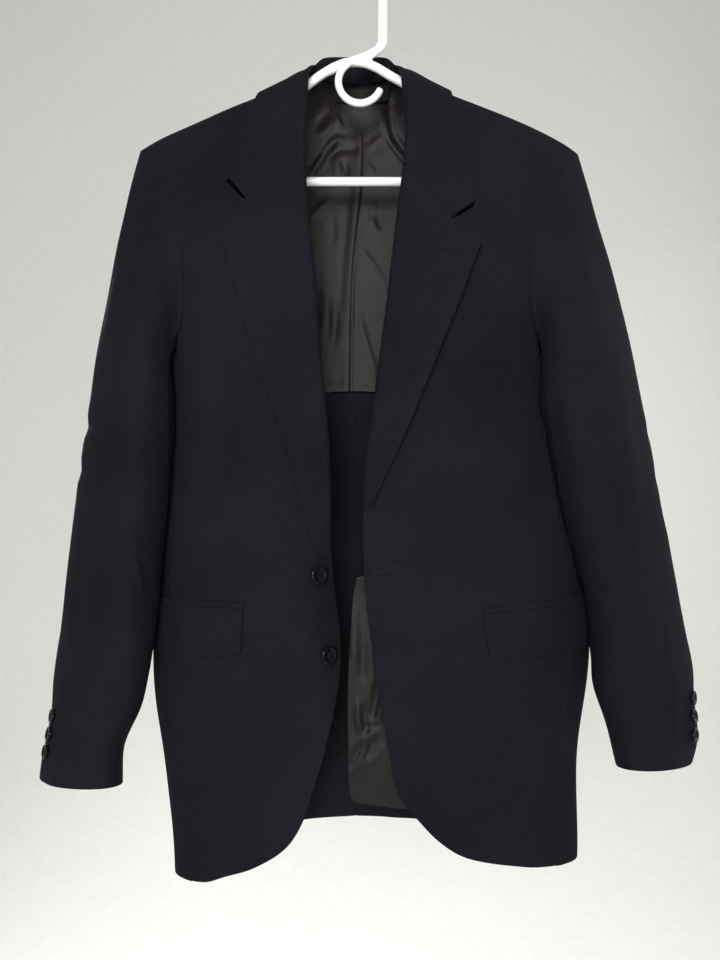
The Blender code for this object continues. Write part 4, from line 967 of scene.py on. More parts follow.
@dataclass
class Sleeve:
    """One two-piece sleeve, whose folds are pushed out from its own middle line.

    WALL is the cloth's thickness. CLEAR is the gap that stays between the sleeve and the body, and
    SLIGHT the lift below which no point is tested for it. RADIUS is that of the unrolled sleeve.
    The folds run out over QUIET_RUN below QUIET_ABOVE. All these are in mm, but FAR, the length of
    a ray, is in metres. LEVELS is the number of places on the middle line, and BENT the share of
    the half width at which a fold seen from the front is held.
    """

    side: Side
    finishes: Finishes
    front: tuple[Crease, ...]
    behind: tuple[Crease, ...]
    cuts: tuple[Cut, Cut]
    seed: int
    body: Surface

    WALL = 2.0
    CLEAR = 0.6
    SLIGHT = 0.3
    FAR = 0.2
    BENT = 0.97
    SEAM = 0.5
    RADIUS = 55.0
    QUIET_ABOVE = -215.0
    QUIET_RUN = 90.0
    LEVELS = 24

    def build(self) -> None:
        """Grow, fold and dress the two pieces."""
        names = [f"{self.side.value}_{part}_sleeve" for part in ("top", "under")]
        shells = [ClothShell(name, levels, self.SEAM) for name, levels in zip(names, (3, 2))]
        self.middle = self.middle_line(np.vstack([shell.at_rest for shell in shells]))
        creases = [self.wrapped(crease, False) for crease in self.front]
        creases += [self.wrapped(crease, True) for crease in self.behind]
        swell = Swell(self.seed, 0.55, 60.0, 190.0)
        for shell, cut in zip(shells, self.cuts):
            chart, outward = self.unroll(shell.at_rest)
            lift = swell.height(chart) + total_lift(creases, chart)
            lift *= ease((self.QUIET_ABOVE - shell.at_rest[:, 2]) / self.QUIET_RUN)
            lift -= self.pressed(shell, outward, lift)
            shell.move(outward * lift[:, None])
            shell.chart(chart, 2.0 * math.pi * self.RADIUS)
            shell.finish(self.finishes.wool, "wool_cloth", cut, (f"{self.side.value}_front_cloth",))

    def pressed(self, shell: ClothShell, outward: np.ndarray, lift: np.ndarray) -> np.ndarray:
        """Find how much of a lift would press the sleeve into the body.

        Args:
            shell: the piece, still at rest.
            outward: each point's outward direction.
            lift: each point's lift, in mm.

        Returns:
            What to take off each lift, in mm, so that the sleeve rests just clear of the body.
        """
        points = shell.at_rest
        middle_x, middle_y, _ = self.at(points[:, 2])
        reach = np.hypot(points[:, 0] - middle_x, points[:, 1] - middle_y) + lift + self.CLEAR
        normals = np.empty(len(points) * 3)
        shell.piece.data.vertices.foreach_get("normal", normals)
        inside = np.sum(normals.reshape(-1, 3) * outward, axis=1) < 0.0
        reach += np.where(inside, self.WALL, 0.0)
        over = np.zeros(len(points))
        for row in np.flatnonzero(lift > self.SLIGHT):
            start = Vector((middle_x[row], middle_y[row], points[row, 2])) * MM
            for tree in self.body.trees:
                place, _, _, far = tree.ray_cast(start, Vector(outward[row]), self.FAR)
                if place is not None:
                    over[row] = max(over[row], reach[row] - far / MM)
        return over

    def middle_line(self, points: np.ndarray) -> np.ndarray:
        """Return height, middle and half width for levels down the sleeve, in mm."""
        low, high = points[:, 2].min(), points[:, 2].max()
        step = (high - low) / self.LEVELS
        rows = []
        for level in np.linspace(low + step, high - step, self.LEVELS):
            near = points[np.abs(points[:, 2] - level) < step]
            ends = near.min(axis=0), near.max(axis=0)
            middle = (ends[0] + ends[1]) / 2
            rows.append((level, middle[0], middle[1], (ends[1][0] - ends[0][0]) / 2))
        return np.array(rows)

    def at(self, heights: np.ndarray | float) -> list[np.ndarray]:
        """Return the middle's X and Y and the half width at some heights, in mm."""
        return [np.interp(heights, self.middle[:, 0], self.middle[:, k]) for k in (1, 2, 3)]

    def unroll(self, points: np.ndarray) -> tuple[np.ndarray, np.ndarray]:
        """Return each point's place on the unrolled sleeve, in mm, and its outward direction."""
        middle_x, middle_y, _ = self.at(points[:, 2])
        turn = np.arctan2(points[:, 0] - middle_x, middle_y - points[:, 1])
        outward = np.column_stack([np.sin(turn), -np.cos(turn), np.zeros(len(turn))])
        return np.column_stack([turn * self.RADIUS, points[:, 2]]), outward

    def wrapped(self, crease: Crease, behind: bool) -> Crease:
        """Return a crease given as X and Z, as seen from the front, on the unrolled sleeve."""
        path = []
        for x, z in crease.path:
            middle_x, _, half = self.at(z)
            turn = math.asin(max(-self.BENT, min(self.BENT, (x - middle_x) / half)))
            if behind:
                turn = math.copysign(math.pi, turn) - turn
            path.append((turn * self.RADIUS, z))
        return replace(crease, path=tuple(path))


PLEAT_FOLD = (
    (8.5, -126), (10.6, -158), (9.4, -196), (8.0, -222), (1.5, -272), (-3, -330), (-5, -450)
)
PLEAT_EDGE = (
    (3.0, -126), (5.0, -158), (4.0, -196), (2.4, -222), (-4.5, -272), (-9, -330), (-11, -450)
)


@dataclass
class Linings:
    """The satin back lining, the slice of front lining that shows and the bare woven label.

    Their folds fall in by no more than deepest, in mm. corner and neck pull the cloth into place
    round the front edge's foot and the neck's two corners. The TIP values carry the top end of the
    front lining down by TIP_DROP, over TIP_RUN above TIP_FOOT, and LABEL_CLEAR holds the label off
    the cloth behind it, all in mm.
    """

    finishes: Finishes
    deepest: float = -0.7
    corner: Pull = Pull((2, -882), 20.0, (-7.0, 0.0, -1.0))
    neck: tuple[Pull, ...] = (
        Pull((-45, -122), 18.0, (-5.0, -16.0, 9.0)),
        Pull((45, -120), 18.0, (5.0, -16.0, 9.0)),
    )
    yoke: tuple[Crease, ...] = crease_table(
        (((3, -132), (2, -250), (-2, -458)), 62, 3.4, 0.15, 0.0),
        (((-47, -152), (-34, -141), (-24, -131)), 3.6, 2.6, 0.3, 0.1),
        (((-45, -156), (-34, -147), (-24, -138)), 2.6, -1.6, 0.3, 0.2),
        (((-24, -131), (-19, -139), (-14, -147)), 3.2, 2.0, 0.1, 0.3),
        (((-54, -202), (-39, -181), (-22, -158), (-12, -163)), 3.6, 3.0, 0.2, 0.2),
        (((-40, -181), (-22, -170), (-6, -168), (6, -172)), 4.4, -2.2, 0.2, 0.2),
        (PLEAT_FOLD, 1.7, -1.3, 0.1, 0.0),
        (PLEAT_EDGE, 4.6, 1.3, 0.1, 0.0),
        (((27, -124), (34.5, -146), (41, -162), (59, -186)), 2.4, -2.3, 0.3, 0.1),
        (((32, -122), (39.5, -143), (46, -158), (62, -178)), 3.6, 2.6, 0.15, 0.1),
        (((13, -170), (24, -160), (34, -155)), 3.4, 1.8),
        (((-15, -179), (-11, -190), (-9, -202)), 3.4, -1.6),
        (((-24, -176), (-21, -190), (-22, -206)), 4.5, 1.8),
        (((14, -182), (18, -192), (21, -204)), 3.6, 1.6),
        (((42, -137), (48, -132), (54, -130)), 3.6, 1.4),
        (((-54, -250), (-40, -236), (-24, -222)), 3.6, 2.0),
        (((-44, -226), (-30, -240), (-26, -262), (-30, -290)), 5.0, -1.8),
        (((2, -274), (20, -304), (40, -338)), 4.0, 2.4),
        (((6, -286), (22, -312), (38, -344)), 3.2, -1.8),
        (((1, -349), (12, -390), (25, -436)), 4.2, 2.2, 0.3, 0.1),
        (((13, -240), (24, -262), (36, -270)), 4.0, 1.8),
        (((24, -210), (30, -236), (26, -262)), 5.0, -1.6),
        (((44, -200), (50, -240), (46, -290)), 6.0, 2.0),
        (((-42, -425), (-26, -431), (-10, -436)), 4.0, -2.0),
        (((-38, -300), (-34, -350), (-40, -410)), 6.0, 2.2),
        (((-26, -330), (-24, -370), (-28, -420)), 4.0, -1.6),
        (((70, -200), (84, -280), (80, -380)), 12, 1.6),
        (((-80, -190), (-96, -290), (-90, -400)), 12, 1.6),
    )
    front: tuple[Crease, ...] = crease_table(
        (((10, -700), (10, -780), (12, -870)), 26, 1.6, 0.2, 0.2),
        (((25, -752), (22, -776), (15, -803)), 3.4, -3.0, 0.3, 0.3),
        (((31, -748), (28, -776), (21, -806)), 4.0, 2.0, 0.3, 0.3),
        (((9, -776), (10, -796), (13, -815)), 2.8, -2.6, 0.3, 0.3),
        (((4, -770), (4, -796), (7, -818)), 3.6, 1.8, 0.3, 0.3),
        (((8, -820), (-1, -838), (-9, -853)), 3.0, -2.6, 0.3, 0.2),
        (((22, -816), (17, -828), (12, -840)), 4.2, -2.4, 0.3, 0.3),
        (((28, -808), (16, -813), (6, -822)), 3.6, 2.2, 0.3, 0.3),
        (((7, -700), (8, -735), (8, -766)), 4.4, -2.0, 0.3, 0.3),
        (((0, -670), (0, -700), (1, -745)), 4.4, 1.6, 0.3, 0.3),
        (((38, -650), (42, -760), (38, -880)), 7, 1.4),
    )

    LABEL_CLEAR = 0.5
    TIP_FOOT = -700.0
    TIP_RUN = 56.0
    TIP_DROP = (-2.5, 0.0, -8.5)

    def build(self) -> None:
        """Grow, fold and dress the three pieces."""
        made = self.finishes
        for node, folds, material, slot, cut in (
            ("back_lining", self.yoke, made.lining, "lining", Cut(0.41, 0.36, 0.110)),
            ("left_front_lining", self.front, made.front_lining, "lining", Cut(0.11, 0.26, 0.0253)),
            ("neck_label", (), made.label, "label", Cut(0.0185, 0.063, 0.0011)),
        ):
            shell = ClothShell(node, 3)
            chart = flat_chart(shell.at_rest, Grain.FACING)
            move = self.drawn(node, shell.at_rest)
            move[:, 1] -= np.maximum(total_lift(folds, chart), self.deepest)
            shell.move(move)
            shell.chart(chart)
            shell.finish(material, slot, cut)

    def drawn(self, node: str, points: np.ndarray) -> np.ndarray:
        """Work out where a piece is drawn by what it is sewn to.

        Args:
            node: the piece's node.
            points: places in space, one row each, in mm.

        Returns:
            The move of each point, in mm.
        """
        if node == "left_front_lining":
            tip = ease((points[:, 2] - self.TIP_FOOT) / self.TIP_RUN)[:, None]
            move = BODY_FRONT.push(points) + self.corner.push(points)
            return move + tip * np.array(self.TIP_DROP)
        move = sum(pull.push(points) for pull in self.neck)
        if node == "neck_label":
            move[:, [0, 2]] = 0.0
            move[:, 1] -= self.LABEL_CLEAR
        return move


# ---- sewing


@dataclass
class Surface:
    """The front of the finished cloth, found by looking at it from the front."""

    pieces: Sequence[bpy.types.Object]
    START = -1.0

    def __post_init__(self) -> None:
        """Build one search tree a piece."""
        self.trees = []
        for piece in self.pieces:
            mesh = bmesh.new()
            mesh.from_mesh(piece.data)
            self.trees.append(BVHTree.FromBMesh(mesh))
            mesh.free()

    def at(self, x: float, z: float) -> tuple[Vector, Vector]:
        """Find the cloth at a place seen from the front.

        Args:
            x: the place's X, in mm.
            z: the place's Z, in mm.

        Returns:
            The point in metres and the outward normal there.
        """
        best = None
        for tree in self.trees:
            start = Vector((x * MM, self.START, z * MM))
            place, normal, _, _ = tree.ray_cast(start, Vector((0, 1, 0)))
            if place is not None and (best is None or place.y < best[0].y):
                best = (place, normal if normal.y < 0 else -normal)
        if best is None:
            raise ValueError(f"no cloth at {x}, {z}")
        return best


def line_ways(start: Place, end: Place) -> tuple[Vector, Vector, Vector, Vector]:
    """Return a line's start and end as vectors, its direction and the one across it."""
    first, last = Vector(start), Vector(end)
    run = (last - first).normalized()
    return first, last, run, Vector((-run.y, run.x))


def new_strip(name: str, pairs: Sequence[Sequence[Vector]], thickness: float) -> bpy.types.Object:
    """Make a thin solid strip.

    Args:
        name: the object's name.
        pairs: the two edge points of each step along it, in metres.
        thickness: its thickness, in mm.

    Returns:
        The new object.
    """
    mesh = bmesh.new()
    rows = [mesh.edges.new([mesh.verts.new(point) for point in pair]) for pair in pairs]
    for before, after in zip(rows, rows[1:]):
        bmesh.ops.bridge_loops(mesh, edges=[before, after])
    bmesh.ops.recalc_face_normals(mesh, faces=mesh.faces)
    bmesh.ops.solidify(mesh, geom=mesh.faces[:], thickness=thickness * MM)
    bmesh.ops.recalc_face_normals(mesh, faces=mesh.faces)
    return new_object(name, mesh)


def add_stitch(
    mesh: bmesh.types.BMesh, middle: Vector, along: Vector, up: Vector, size: Vector
) -> None:
    """Add one rounded stitch.

    Args:
        mesh: the mesh that takes it.
        middle: its middle.
        along: the direction of its length.
        up: the cloth's normal there.
        size: its length, width and height.
    """
    forward = along.normalized()
    side = up.cross(forward).normalized()
    top = forward.cross(side)
    turn = Matrix((forward, side, top)).transposed().to_4x4()
    scale = Matrix.Diagonal((*(size / 2), 1.0))
    matrix = Matrix.Translation(middle) @ turn @ scale
    bmesh.ops.create_uvsphere(mesh, u_segments=6, v_segments=4, radius=1.0, matrix=matrix)


@dataclass
class Buttonhole:
    """A worked keyhole buttonhole: a close row of purl stitches round a slit and its eye.

    start is the eye's place and end is the bar's place, as X and Z in mm. eye is the eye's radius,
    gap half the slit's width, pitch the step from stitch to stitch and bite a stitch's length.
    RISE is a stitch's height. PROUD, BAR_PROUD and SLIT_PROUD are how far a stitch's middle, the
    bar's and the slit's painted-shade strip lie above the cloth, and BAR is the size of the bar's
    stitches. All are in mm.
    """

    name: str
    start: Place
    end: Place
    eye: float = 1.3
    gap: float = 0.35
    pitch: float = 0.52
    bite: float = 1.15

    RISE = 0.62
    PROUD = 0.12
    BAR_PROUD = 0.3
    BAR = (4.6, 0.6, 0.8)
    SLIT_PROUD = 0.18
    SLIT_STEPS = 12

    def build(self, surface: Surface, finishes: Finishes) -> None:
        """Work the stitches on the cloth."""
        mesh = bmesh.new()
        for place, outward in self.outline():
            point, normal = surface.at(*(place + outward * self.bite / 2))
            along = Vector((outward.x, 0.0, outward.y))
            along -= normal * along.dot(normal)
            size = Vector((self.bite, self.pitch * 0.98, self.RISE)) * MM
            add_stitch(mesh, point + normal * self.PROUD * MM, along, normal, size)
        _, end, run, across = line_ways(self.start, self.end)
        for share in (0.3, 0.9):
            point, normal = surface.at(*(end + run * share))
            along = Vector((across.x, 0.0, across.y))
            middle = point + normal * self.BAR_PROUD * MM
            add_stitch(mesh, middle, along, normal, Vector(self.BAR) * MM)
        dress(new_object(self.name, mesh), finishes.thread, "wool_cloth")
        self.slit(surface, finishes)

    def outline(self) -> list[tuple[Vector, Vector]]:
        """Return each stitch's inner place and outward direction on the chart, in mm."""
        start, end, run, across = line_ways(self.start, self.end)
        rows = []
        straight = int(((end - start).length - self.eye) / self.pitch)
        for side in (-1.0, 1.0):
            for step in range(straight):
                here = start + run * (self.eye + (step + 0.5) * self.pitch)
                rows.append((here + across * side * self.gap, across * side))
        turns = int(math.pi * 1.7 * self.eye / self.pitch)
        for step in range(turns + 1):
            turn = math.radians(30.0 + 300.0 * step / turns)
            outward = run * math.cos(turn) + across * math.sin(turn)
            rows.append((start + outward * self.eye * 0.8, outward))
        return rows

    def slit(self, surface: Surface, finishes: Finishes) -> None:
        """Lay a thin strip between the two rows: painted shade for the dark inside of the slit."""
        start, end, _, across = line_ways(self.start, self.end)
        pairs = []
        for step in range(self.SLIT_STEPS + 1):
            here = start + (end - start) * (step / self.SLIT_STEPS)
            half = self.eye * 0.75 if step < 1 else self.gap * 0.8
            found = [surface.at(*(here + across * side * half)) for side in (-1.0, 1.0)]
            pairs.append([point + normal * self.SLIT_PROUD * MM for point, normal in found])
        # The slit's strip is painted shade for the dark inside of the cut.
        dress(new_strip(self.name + "_slit", pairs, 0.12), finishes.dark_thread, "wool_cloth")


@dataclass
class NotchShadowMelton:
    """A near-black strip along the notch: painted shadow in the gap between collar and lapel, partly
    the under-collar felt.

    inner and outer are the slit's two ends, as X and Z in mm, and width is its width, in mm. It
    starts narrower than that. LIFT is how far it lies before the cloth and THICK its thickness.
    """

    side: Side
    inner: Place
    outer: Place
    width: float = 3.0
    steps: int = 8

    LIFT = 0.15
    THICK = 0.2

    def build(self, surface: Surface, finishes: Finishes) -> None:
        """Lay the narrow near-black strip of painted shadow on the cloth along the notch."""
        start, end, _, across = line_ways(self.inner, self.outer)
        pairs = []
        for step in range(self.steps + 1):
            share = step / self.steps
            half = self.width / 2 * min(1.0, 0.35 + 2.0 * share)
            middle = start.lerp(end, share)
            pair = [surface.at(*(middle + across * way * half))[0] for way in (-1.0, 1.0)]
            front = min(point.y for point in pair) - self.LIFT * MM
            pairs.append([Vector((point.x, front, point.z)) for point in pair])
        strip = new_strip(f"{self.side.value}_notch_shadow_melton", pairs, self.THICK)
        # The near-black matt finish paints the shadow in the notch.
        dress(strip, finishes.notch_shadow, "wool_cloth")


@dataclass
class SeamLine:
    """A run of small even stitches in cloth-coloured thread, with its sizes in mm."""

    name: str
    path: tuple[Place, ...]
    stitch: float = 1.9
    space: float = 0.7
    width: float = 0.42
    height: float = 0.36

    def build(self, surface: Surface, finishes: Finishes) -> None:
        """Sew the run on the cloth."""
        line = smooth_line(self.path)
        run = np.diff(line, axis=0)
        passed = np.concatenate([[0.0], np.cumsum(np.linalg.norm(run, axis=1))])
        mesh = bmesh.new()
        for at in np.arange(self.stitch, passed[-1] - self.stitch, self.stitch + self.space):
            here, ahead = (
                Vector([np.interp(place, passed, line[:, axis]) for axis in (0, 1)])
                for place in (at, at + 1)
            )
            point, normal = surface.at(*here)
            step = ahead - here
            along = Vector((step.x, 0.0, step.y))
            along -= normal * along.dot(normal)
            size = Vector((self.stitch, self.width, self.height)) * MM
            add_stitch(mesh, point + normal * 0.04 * MM, along, normal, size)
        dress(new_object(self.name, mesh), finishes.dark_thread, "wool_cloth")


@dataclass
class Button:
    """A four-hole button turned to lie as its plain solid lies, with its sewing thread.

    push moves points as the cloth below moves. The holes' radius and place are shares of the
    button's radius. Each row of profile is a share of the radius and a share of the thickness.
    """

    node: str
    finishes: Finishes
    push: Callable[[np.ndarray], np.ndarray]
    segments: int = 44
    hole_radius: float = 0.105
    hole_place: float = 0.2
    profile: tuple[Place, ...] = (
        (0.0, 0.10), (0.34, 0.10), (0.50, 0.16), (0.60, 0.34), (0.68, 0.46), (0.80, 0.50),
        (0.91, 0.44), (0.98, 0.24), (1.0, 0.0), (0.96, -0.28), (0.84, -0.46), (0.55, -0.50),
        (0.0, -0.50),
    )

    def build(self) -> None:
        """Turn the button, drill its holes and sew it on."""
        source = merged_copy(self.node)
        points = np.array([vert.co[:] for vert in source.verts])
        source.free()
        middle = (points.min(axis=0) + points.max(axis=0)) / 2
        away = points - points.mean(axis=0)
        axis = Vector(np.linalg.svd(away, full_matrices=False)[2][2])
        axis = axis if axis.y < 0 else -axis
        up = np.array(axis)
        depth = float(np.ptp(away @ up))
        flat = away - np.outer(away @ up, up)
        radius = float(np.linalg.norm(flat, axis=1).max())
        carried = self.push(middle[None] / MM)[0] * MM
        turn = axis.to_track_quat("Z", "Y").to_matrix().to_4x4()
        place = Matrix.Translation(Vector(middle + carried)) @ turn
        disc = new_object(self.node + "_turned", self.disc(radius, depth, place))
        drill = new_object("drill", self.drills(radius, depth, place))
        cutter = disc.modifiers.new("holes", "BOOLEAN")
        cutter.object = drill
        cutter.operation = "DIFFERENCE"
        cutter.solver = "EXACT"
        bake_modifiers(disc)
        bpy.data.objects.remove(drill)
        dress(disc, self.finishes.horn, "button", self.node)
        thread = new_object(self.node + "_thread", self.sewing(radius, depth, place))
        dress(thread, self.finishes.dark_thread, "wool_cloth")

    def disc(self, radius: float, depth: float, place: Matrix) -> bmesh.types.BMesh:
        """Return the turned disc: a profile spun round its axis."""
        mesh = bmesh.new()
        rim = [mesh.verts.new((r * radius, 0.0, h * depth)) for r, h in self.profile]
        edges = [mesh.edges.new(pair) for pair in zip(rim, rim[1:])]
        bmesh.ops.spin(
            mesh,
            geom=rim + edges,
            axis=(0, 0, 1),
            cent=(0, 0, 0),
            angle=2 * math.pi,
            steps=self.segments,
            use_merge=True,
        )
        bmesh.ops.remove_doubles(mesh, verts=mesh.verts, dist=WELD)
        bmesh.ops.recalc_face_normals(mesh, faces=mesh.faces)
        mesh.transform(place)
        return mesh

    def corners(self, radius: float) -> list[Vector]:
        """Return the places of the four holes on the disc."""
        reach = self.hole_place * radius
        signs = ((1, 1), (-1, 1), (-1, -1), (1, -1))
        return [Vector((reach * x, reach * y, 0.0)) for x, y in signs]

    def drills(self, radius: float, depth: float, place: Matrix) -> bmesh.types.BMesh:
        """Return the four drills."""
        mesh = bmesh.new()
        for corner in self.corners(radius):
            bmesh.ops.create_cone(
                mesh,
                cap_ends=True,
                segments=16,
                radius1=self.hole_radius * radius,
                radius2=self.hole_radius * radius,
                depth=depth * 2,
                matrix=place @ Matrix.Translation(corner),
            )
        return mesh

    def sewing(self, radius: float, depth: float, place: Matrix) -> bmesh.types.BMesh:
        """Return the thread: two pairs of strands between the holes and a shank below."""
        mesh = bmesh.new()
        spot = self.corners(radius)
        up = (place.to_3x3() @ Vector((0, 0, 1))).normalized()
        for first, second in ((spot[0], spot[1]), (spot[3], spot[2])):
            along = place.to_3x3() @ (second - first)
            side = up.cross(along).normalized()
            for shift in (-0.05, 0.05):
                middle = place @ ((first + second) / 2 + Vector((0, 0, 0.13 * depth)))
                middle += side * shift * radius
                size = Vector((along.length * 1.35, 0.09 * radius, 0.16 * radius))
                add_stitch(mesh, middle, along, up, size)
        bmesh.ops.create_cone(
            mesh,
            cap_ends=True,
            segments=14,
            radius1=0.2 * radius,
            radius2=0.16 * radius,
            depth=depth * 0.25,
            matrix=place @ Matrix.Translation((0, 0, -0.56 * depth)),
        )
        return mesh


# ---- hanger


@dataclass
class Hanger:
    """The one-piece moulded hanger: arms, bar, hook and front loop fused smoothly.

    The parts grow by grow, are fused in voxels and smoothed in passes. The stem's foot, below
    foot_z on the right of foot_x, drops into the bend, and the root has the radius rod and the line
    sweep, as X and Z in mm. The other lengths are in metres.
    """

    finishes: Finishes
    grow: float = 0.0006
    voxel: float = 0.0011
    passes: int = 14
    rod: float = 0.0047
    foot_x: float = 0.016
    foot_z: float = -0.074
    foot_drop: float = 0.0034
    sweep: tuple[Place, ...] = (
        (31.5, -68.5), (28.0, -76.5), (21.0, -82.8), (11.0, -87.3), (-1.0, -91.8), (-14.0, -97.0),
        (-30.0, -103.6),
    )

    def build(self) -> None:
        """Fuse the three plain parts into one moulding and smooth its joins."""
        mesh = bmesh.new()
        mesh.from_mesh(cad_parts["hanger_hook"].data)
        for vert in mesh.verts:
            if vert.co.x < self.foot_x and vert.co.z < self.foot_z:
                vert.co.z -= self.foot_drop
        for node in ("hanger_arms", "hanger_loop"):
            mesh.from_mesh(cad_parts[node].data)
        self.add_sweep(mesh)
        bmesh.ops.remove_doubles(mesh, verts=mesh.verts, dist=WELD)
        bmesh.ops.recalc_face_normals(mesh, faces=mesh.faces)
        mesh.normal_update()
        for vert in mesh.verts:
            vert.co += vert.normal * self.grow
        piece = new_object("hanger_moulding", mesh)
        fuse = piece.modifiers.new("fuse", "REMESH")
        fuse.mode = "VOXEL"
        fuse.voxel_size = self.voxel
        bake_modifiers(piece)
        smooth = bmesh.new()
        smooth.from_mesh(piece.data)
        every_axis = dict.fromkeys(("use_axis_x", "use_axis_y", "use_axis_z"), True)
        for _ in range(self.passes):
            bmesh.ops.smooth_vert(smooth, verts=smooth.verts, factor=0.5, **every_axis)
        smooth.normal_update()
        back = self.grow * 0.5
        for vert in smooth.verts:
            vert.co -= vert.normal * back
        smooth.to_mesh(piece.data)
        smooth.free()
        dress(piece, self.finishes.plastic, "hanger", "hanger_arms", "hanger_hook", "hanger_loop")

    def add_sweep(self, mesh: bmesh.types.BMesh) -> None:
        """Add the thick root that carries the stem over into the right arm."""
        line = smooth_line(self.sweep) * MM
        ends = np.gradient(line, axis=0)
        loops = []
        for (x, z), (run_x, run_z) in zip(line, ends):
            way = Vector((run_x, 0.0, run_z)).normalized()
            turn = way.to_track_quat("Z", "Y").to_matrix().to_4x4()
            ring = bmesh.ops.create_circle(
                mesh, segments=20, radius=self.rod, matrix=Matrix.Translation((x, 0.0, z)) @ turn
            )["verts"]
            loops.append(list({edge for vert in ring for edge in vert.link_edges}))
        for before, after in zip(loops, loops[1:]):
            bmesh.ops.bridge_loops(mesh, edges=before + after)
        for loop in (loops[0], loops[-1]):
            bmesh.ops.contextual_create(mesh, geom=loop)


# ---- studio


@dataclass
class Studio:
    """A plain pale floor and backdrop, soft lights and the camera.

    Each light has a name, a place, a width and a power, and all face aim.
    """

    finishes: Finishes
    eye: Spot = (0.00545, -0.846, -0.5487)
    lens: float = 29.1
    floor: float = -2.3
    back: float = 2.7
    reach: float = 7.0
    corner: float = 0.8
    lights: tuple[tuple[str, Spot, float, float], ...] = (
        ("key", (-0.20, -2.2, -0.02), 0.7, 51.0),
        ("fill", (0.1, -2.3, -0.8), 1.5, 28.0),
        ("rear", (-0.6, 2.3, 0.3), 2.0, 95.0),
        ("side", (2.4, 0.6, 0.2), 2.0, 20.0),
    )
    aim: Spot = (0.0, 0.0, -0.5)
    world: float = 0.42

    def build(self) -> None:
        """Set up the room, the lights and the camera."""
        mesh = bmesh.new()
        low = [mesh.verts.new((x, -self.reach, self.floor)) for x in (-self.reach, self.reach)]
        line = mesh.edges.new(low)
        edge = self.swept(mesh, line, Vector((0.0, self.reach + self.back, 0.0)))
        self.swept(mesh, edge, Vector((0.0, 0.0, self.reach)))
        bmesh.ops.bevel(
            mesh,
            geom=[edge],
            offset=self.corner,
            segments=10,
            profile=0.5,
            affect="EDGES",
            material=-1,
        )
        bmesh.ops.recalc_face_normals(mesh, faces=mesh.faces)
        room = new_object("studio_sweep", mesh)
        room.data.materials.append(self.finishes.paint)
        room.data.shade_smooth()
        for name, place, size, power in self.lights:
            self.light(name, Vector(place), size, power)
        world = bpy.data.worlds.new("pale_room")
        world.use_nodes = True
        shade = world.node_tree.nodes["Background"]
        shade.inputs[0].default_value = (1.0, 0.985, 0.96, 1.0)
        shade.inputs[1].default_value = self.world
        bpy.context.scene.world = world
        bpy.context.scene.view_settings.view_transform = "Standard"
        self.camera()

    @staticmethod
    def swept(mesh: bmesh.types.BMesh, edge: bmesh.types.BMEdge, way: Vector) -> bmesh.types.BMEdge:
        """Extrude an edge, move the new edge and return it."""
        grown = bmesh.ops.extrude_edge_only(mesh, edges=[edge])["geom"]
        verts = [part for part in grown if isinstance(part, bmesh.types.BMVert)]
        bmesh.ops.translate(mesh, verts=verts, vec=way)
        edges = [part for part in grown if isinstance(part, bmesh.types.BMEdge)]
        return next(part for part in edges if all(vert in verts for vert in part.verts))

    def light(self, name: str, place: Vector, size: float, power: float) -> None:
        """Hang one soft square light that faces the jacket."""
        lamp = bpy.data.lights.new(name, "AREA")
        lamp.shape = "SQUARE"
        lamp.size = size
        lamp.energy = power
        made = bpy.data.objects.new(name, lamp)
        made.location = place
        made.rotation_euler = (Vector(self.aim) - place).to_track_quat("-Z", "Y").to_euler()
        made.visible_camera = False
        bpy.context.scene.collection.objects.link(made)

    def camera(self) -> None:
        """Place the camera where the photograph was taken from."""
        lens = bpy.data.cameras.new("camera")
        lens.lens = self.lens
        lens.sensor_width = 36.0
        lens.clip_start = 0.02
        made = bpy.data.objects.new("camera", lens)
        made.location = self.eye
        made.rotation_euler = (math.pi / 2, 0.0, 0.0)
        bpy.context.scene.collection.objects.link(made)
        bpy.context.scene.camera = made


RIGHT_SLEEVE = {
    "cuts": (Cut(0.25, 0.70, 0.135), Cut(0.14, 0.57, 0.063)),
    "front": crease_table(
        (((-225, -440), (-226, -500), (-228, -560)), 9, 1.9),
        (((-231, -529), (-232, -628), (-236, -738)), 8, 2.2),
        (((-262, -748), (-235, -740), (-209, -730)), 5, -1.9),
        (((-259, -796), (-248, -769), (-237, -746)), 9, -1.9),
        (((-290, -560), (-284, -640), (-292, -720)), 12, -1.5),
        (((-262, -300), (-268, -360), (-262, -430)), 13, 1.3),
        (((-120, -400), (-120, -520), (-120, -640), (-120, -765)), 44, 9.5, 0.3, 0.25),
    ),
    "behind": crease_table(
        (((-225, -470), (-250, -500), (-282, -512)), 8, -2.4),
        (((-222, -520), (-256, -546), (-290, -552)), 8, -2.0),
        (((-262, -580), (-268, -660), (-280, -770)), 11, 1.8),
    ),
}

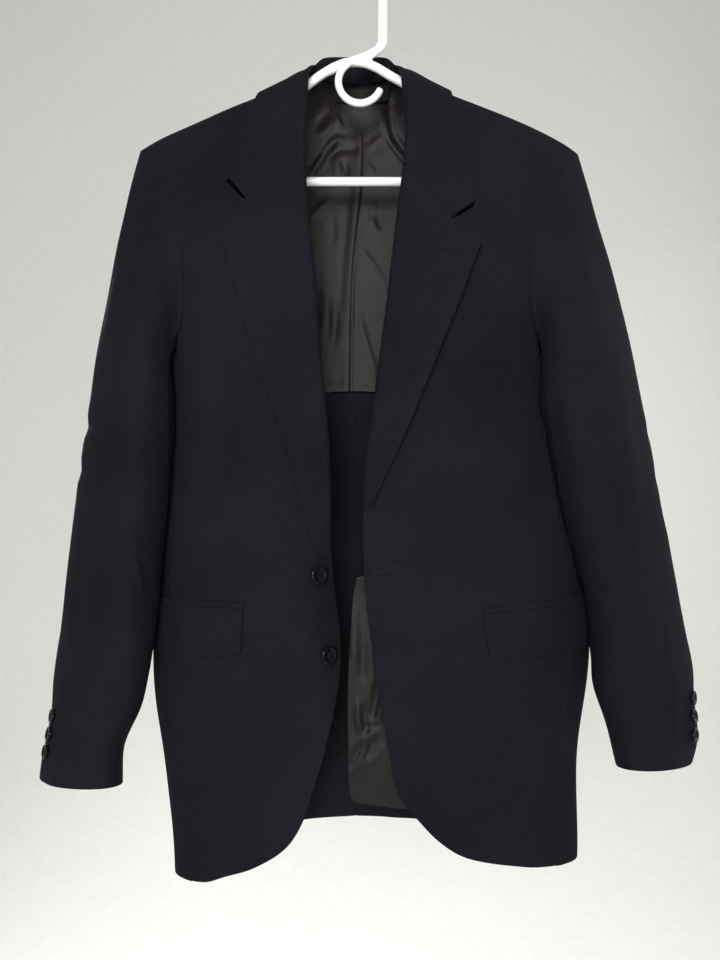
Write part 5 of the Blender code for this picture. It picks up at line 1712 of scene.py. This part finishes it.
LEFT_SLEEVE = {
    "cuts": (Cut(0.25, 0.68, 0.1376), Cut(0.14, 0.56, 0.0651)),
    "front": crease_table(
        (((231, -312), (231, -336), (232, -360)), 9, -2.3),
        (((316, -685), (313, -734), (300, -768)), 6, -1.9),
        (((342, -736), (332, -781), (322, -826)), 8, 1.9),
        (((270, -420), (278, -500), (290, -590)), 12, 1.6),
        (((247, -640), (262, -668), (285, -676)), 6, -1.6),
        (((252, -602), (268, -618), (286, -622)), 6, -1.3),
        (((120, -390), (120, -500), (120, -620), (120, -735)), 44, 9.5, 0.3, 0.25),
    ),
    "behind": crease_table(
        (((225, -462), (254, -492), (284, -500)), 8, -2.3),
        (((232, -516), (262, -540), (300, -546)), 8, -2.1),
        (((286, -590), (298, -680), (318, -770)), 11, 1.7),
    ),
}


def main() -> None:
    """Build every piece in order."""
    finishes = Finishes.build()
    Studio(finishes).build()
    LOG.info("studio ready")
    body = Body(finishes)
    shells = body.build()
    surface = Surface([shell.piece for shell in shells.values()])
    Sleeve(Side.RIGHT, finishes, body=surface, seed=31, **RIGHT_SLEEVE).build()
    Sleeve(Side.LEFT, finishes, body=surface, seed=37, **LEFT_SLEEVE).build()
    Linings(finishes).build()
    Hanger(finishes).build()
    for work in (
        Buttonhole("front_buttonhole_1", (20, -643), (45, -637)),
        Buttonhole("front_buttonhole_2", (35, -733), (57, -730)),
        Buttonhole("lapel_buttonhole", (87, -321), (102, -329), eye=0.8, bite=1.1),
        NotchShadowMelton(Side.LEFT, (98, -284), (120.5, -269.5)),
        NotchShadowMelton(Side.RIGHT, (-110.5, -264), (-130, -242.5)),
        SeamLine("front_dart_seam", ((-134, -509), (-137, -590), (-139, -669))),
    ):
        work.build(surface, finishes)
    buttons = [f"front_button_{number}" for number in (1, 2)]
    buttons += [f"{side.value}_cuff_button_{number}" for side in Side for number in (1, 2, 3)]
    for node in buttons:
        push = body.push if node.startswith("front") else np.zeros_like
        Button(node, finishes, push).build()
    LOG.info("sewing and buttons ready")


if __name__ == "__main__":
    logging.basicConfig(level=logging.INFO, format="%(message)s")
    main()
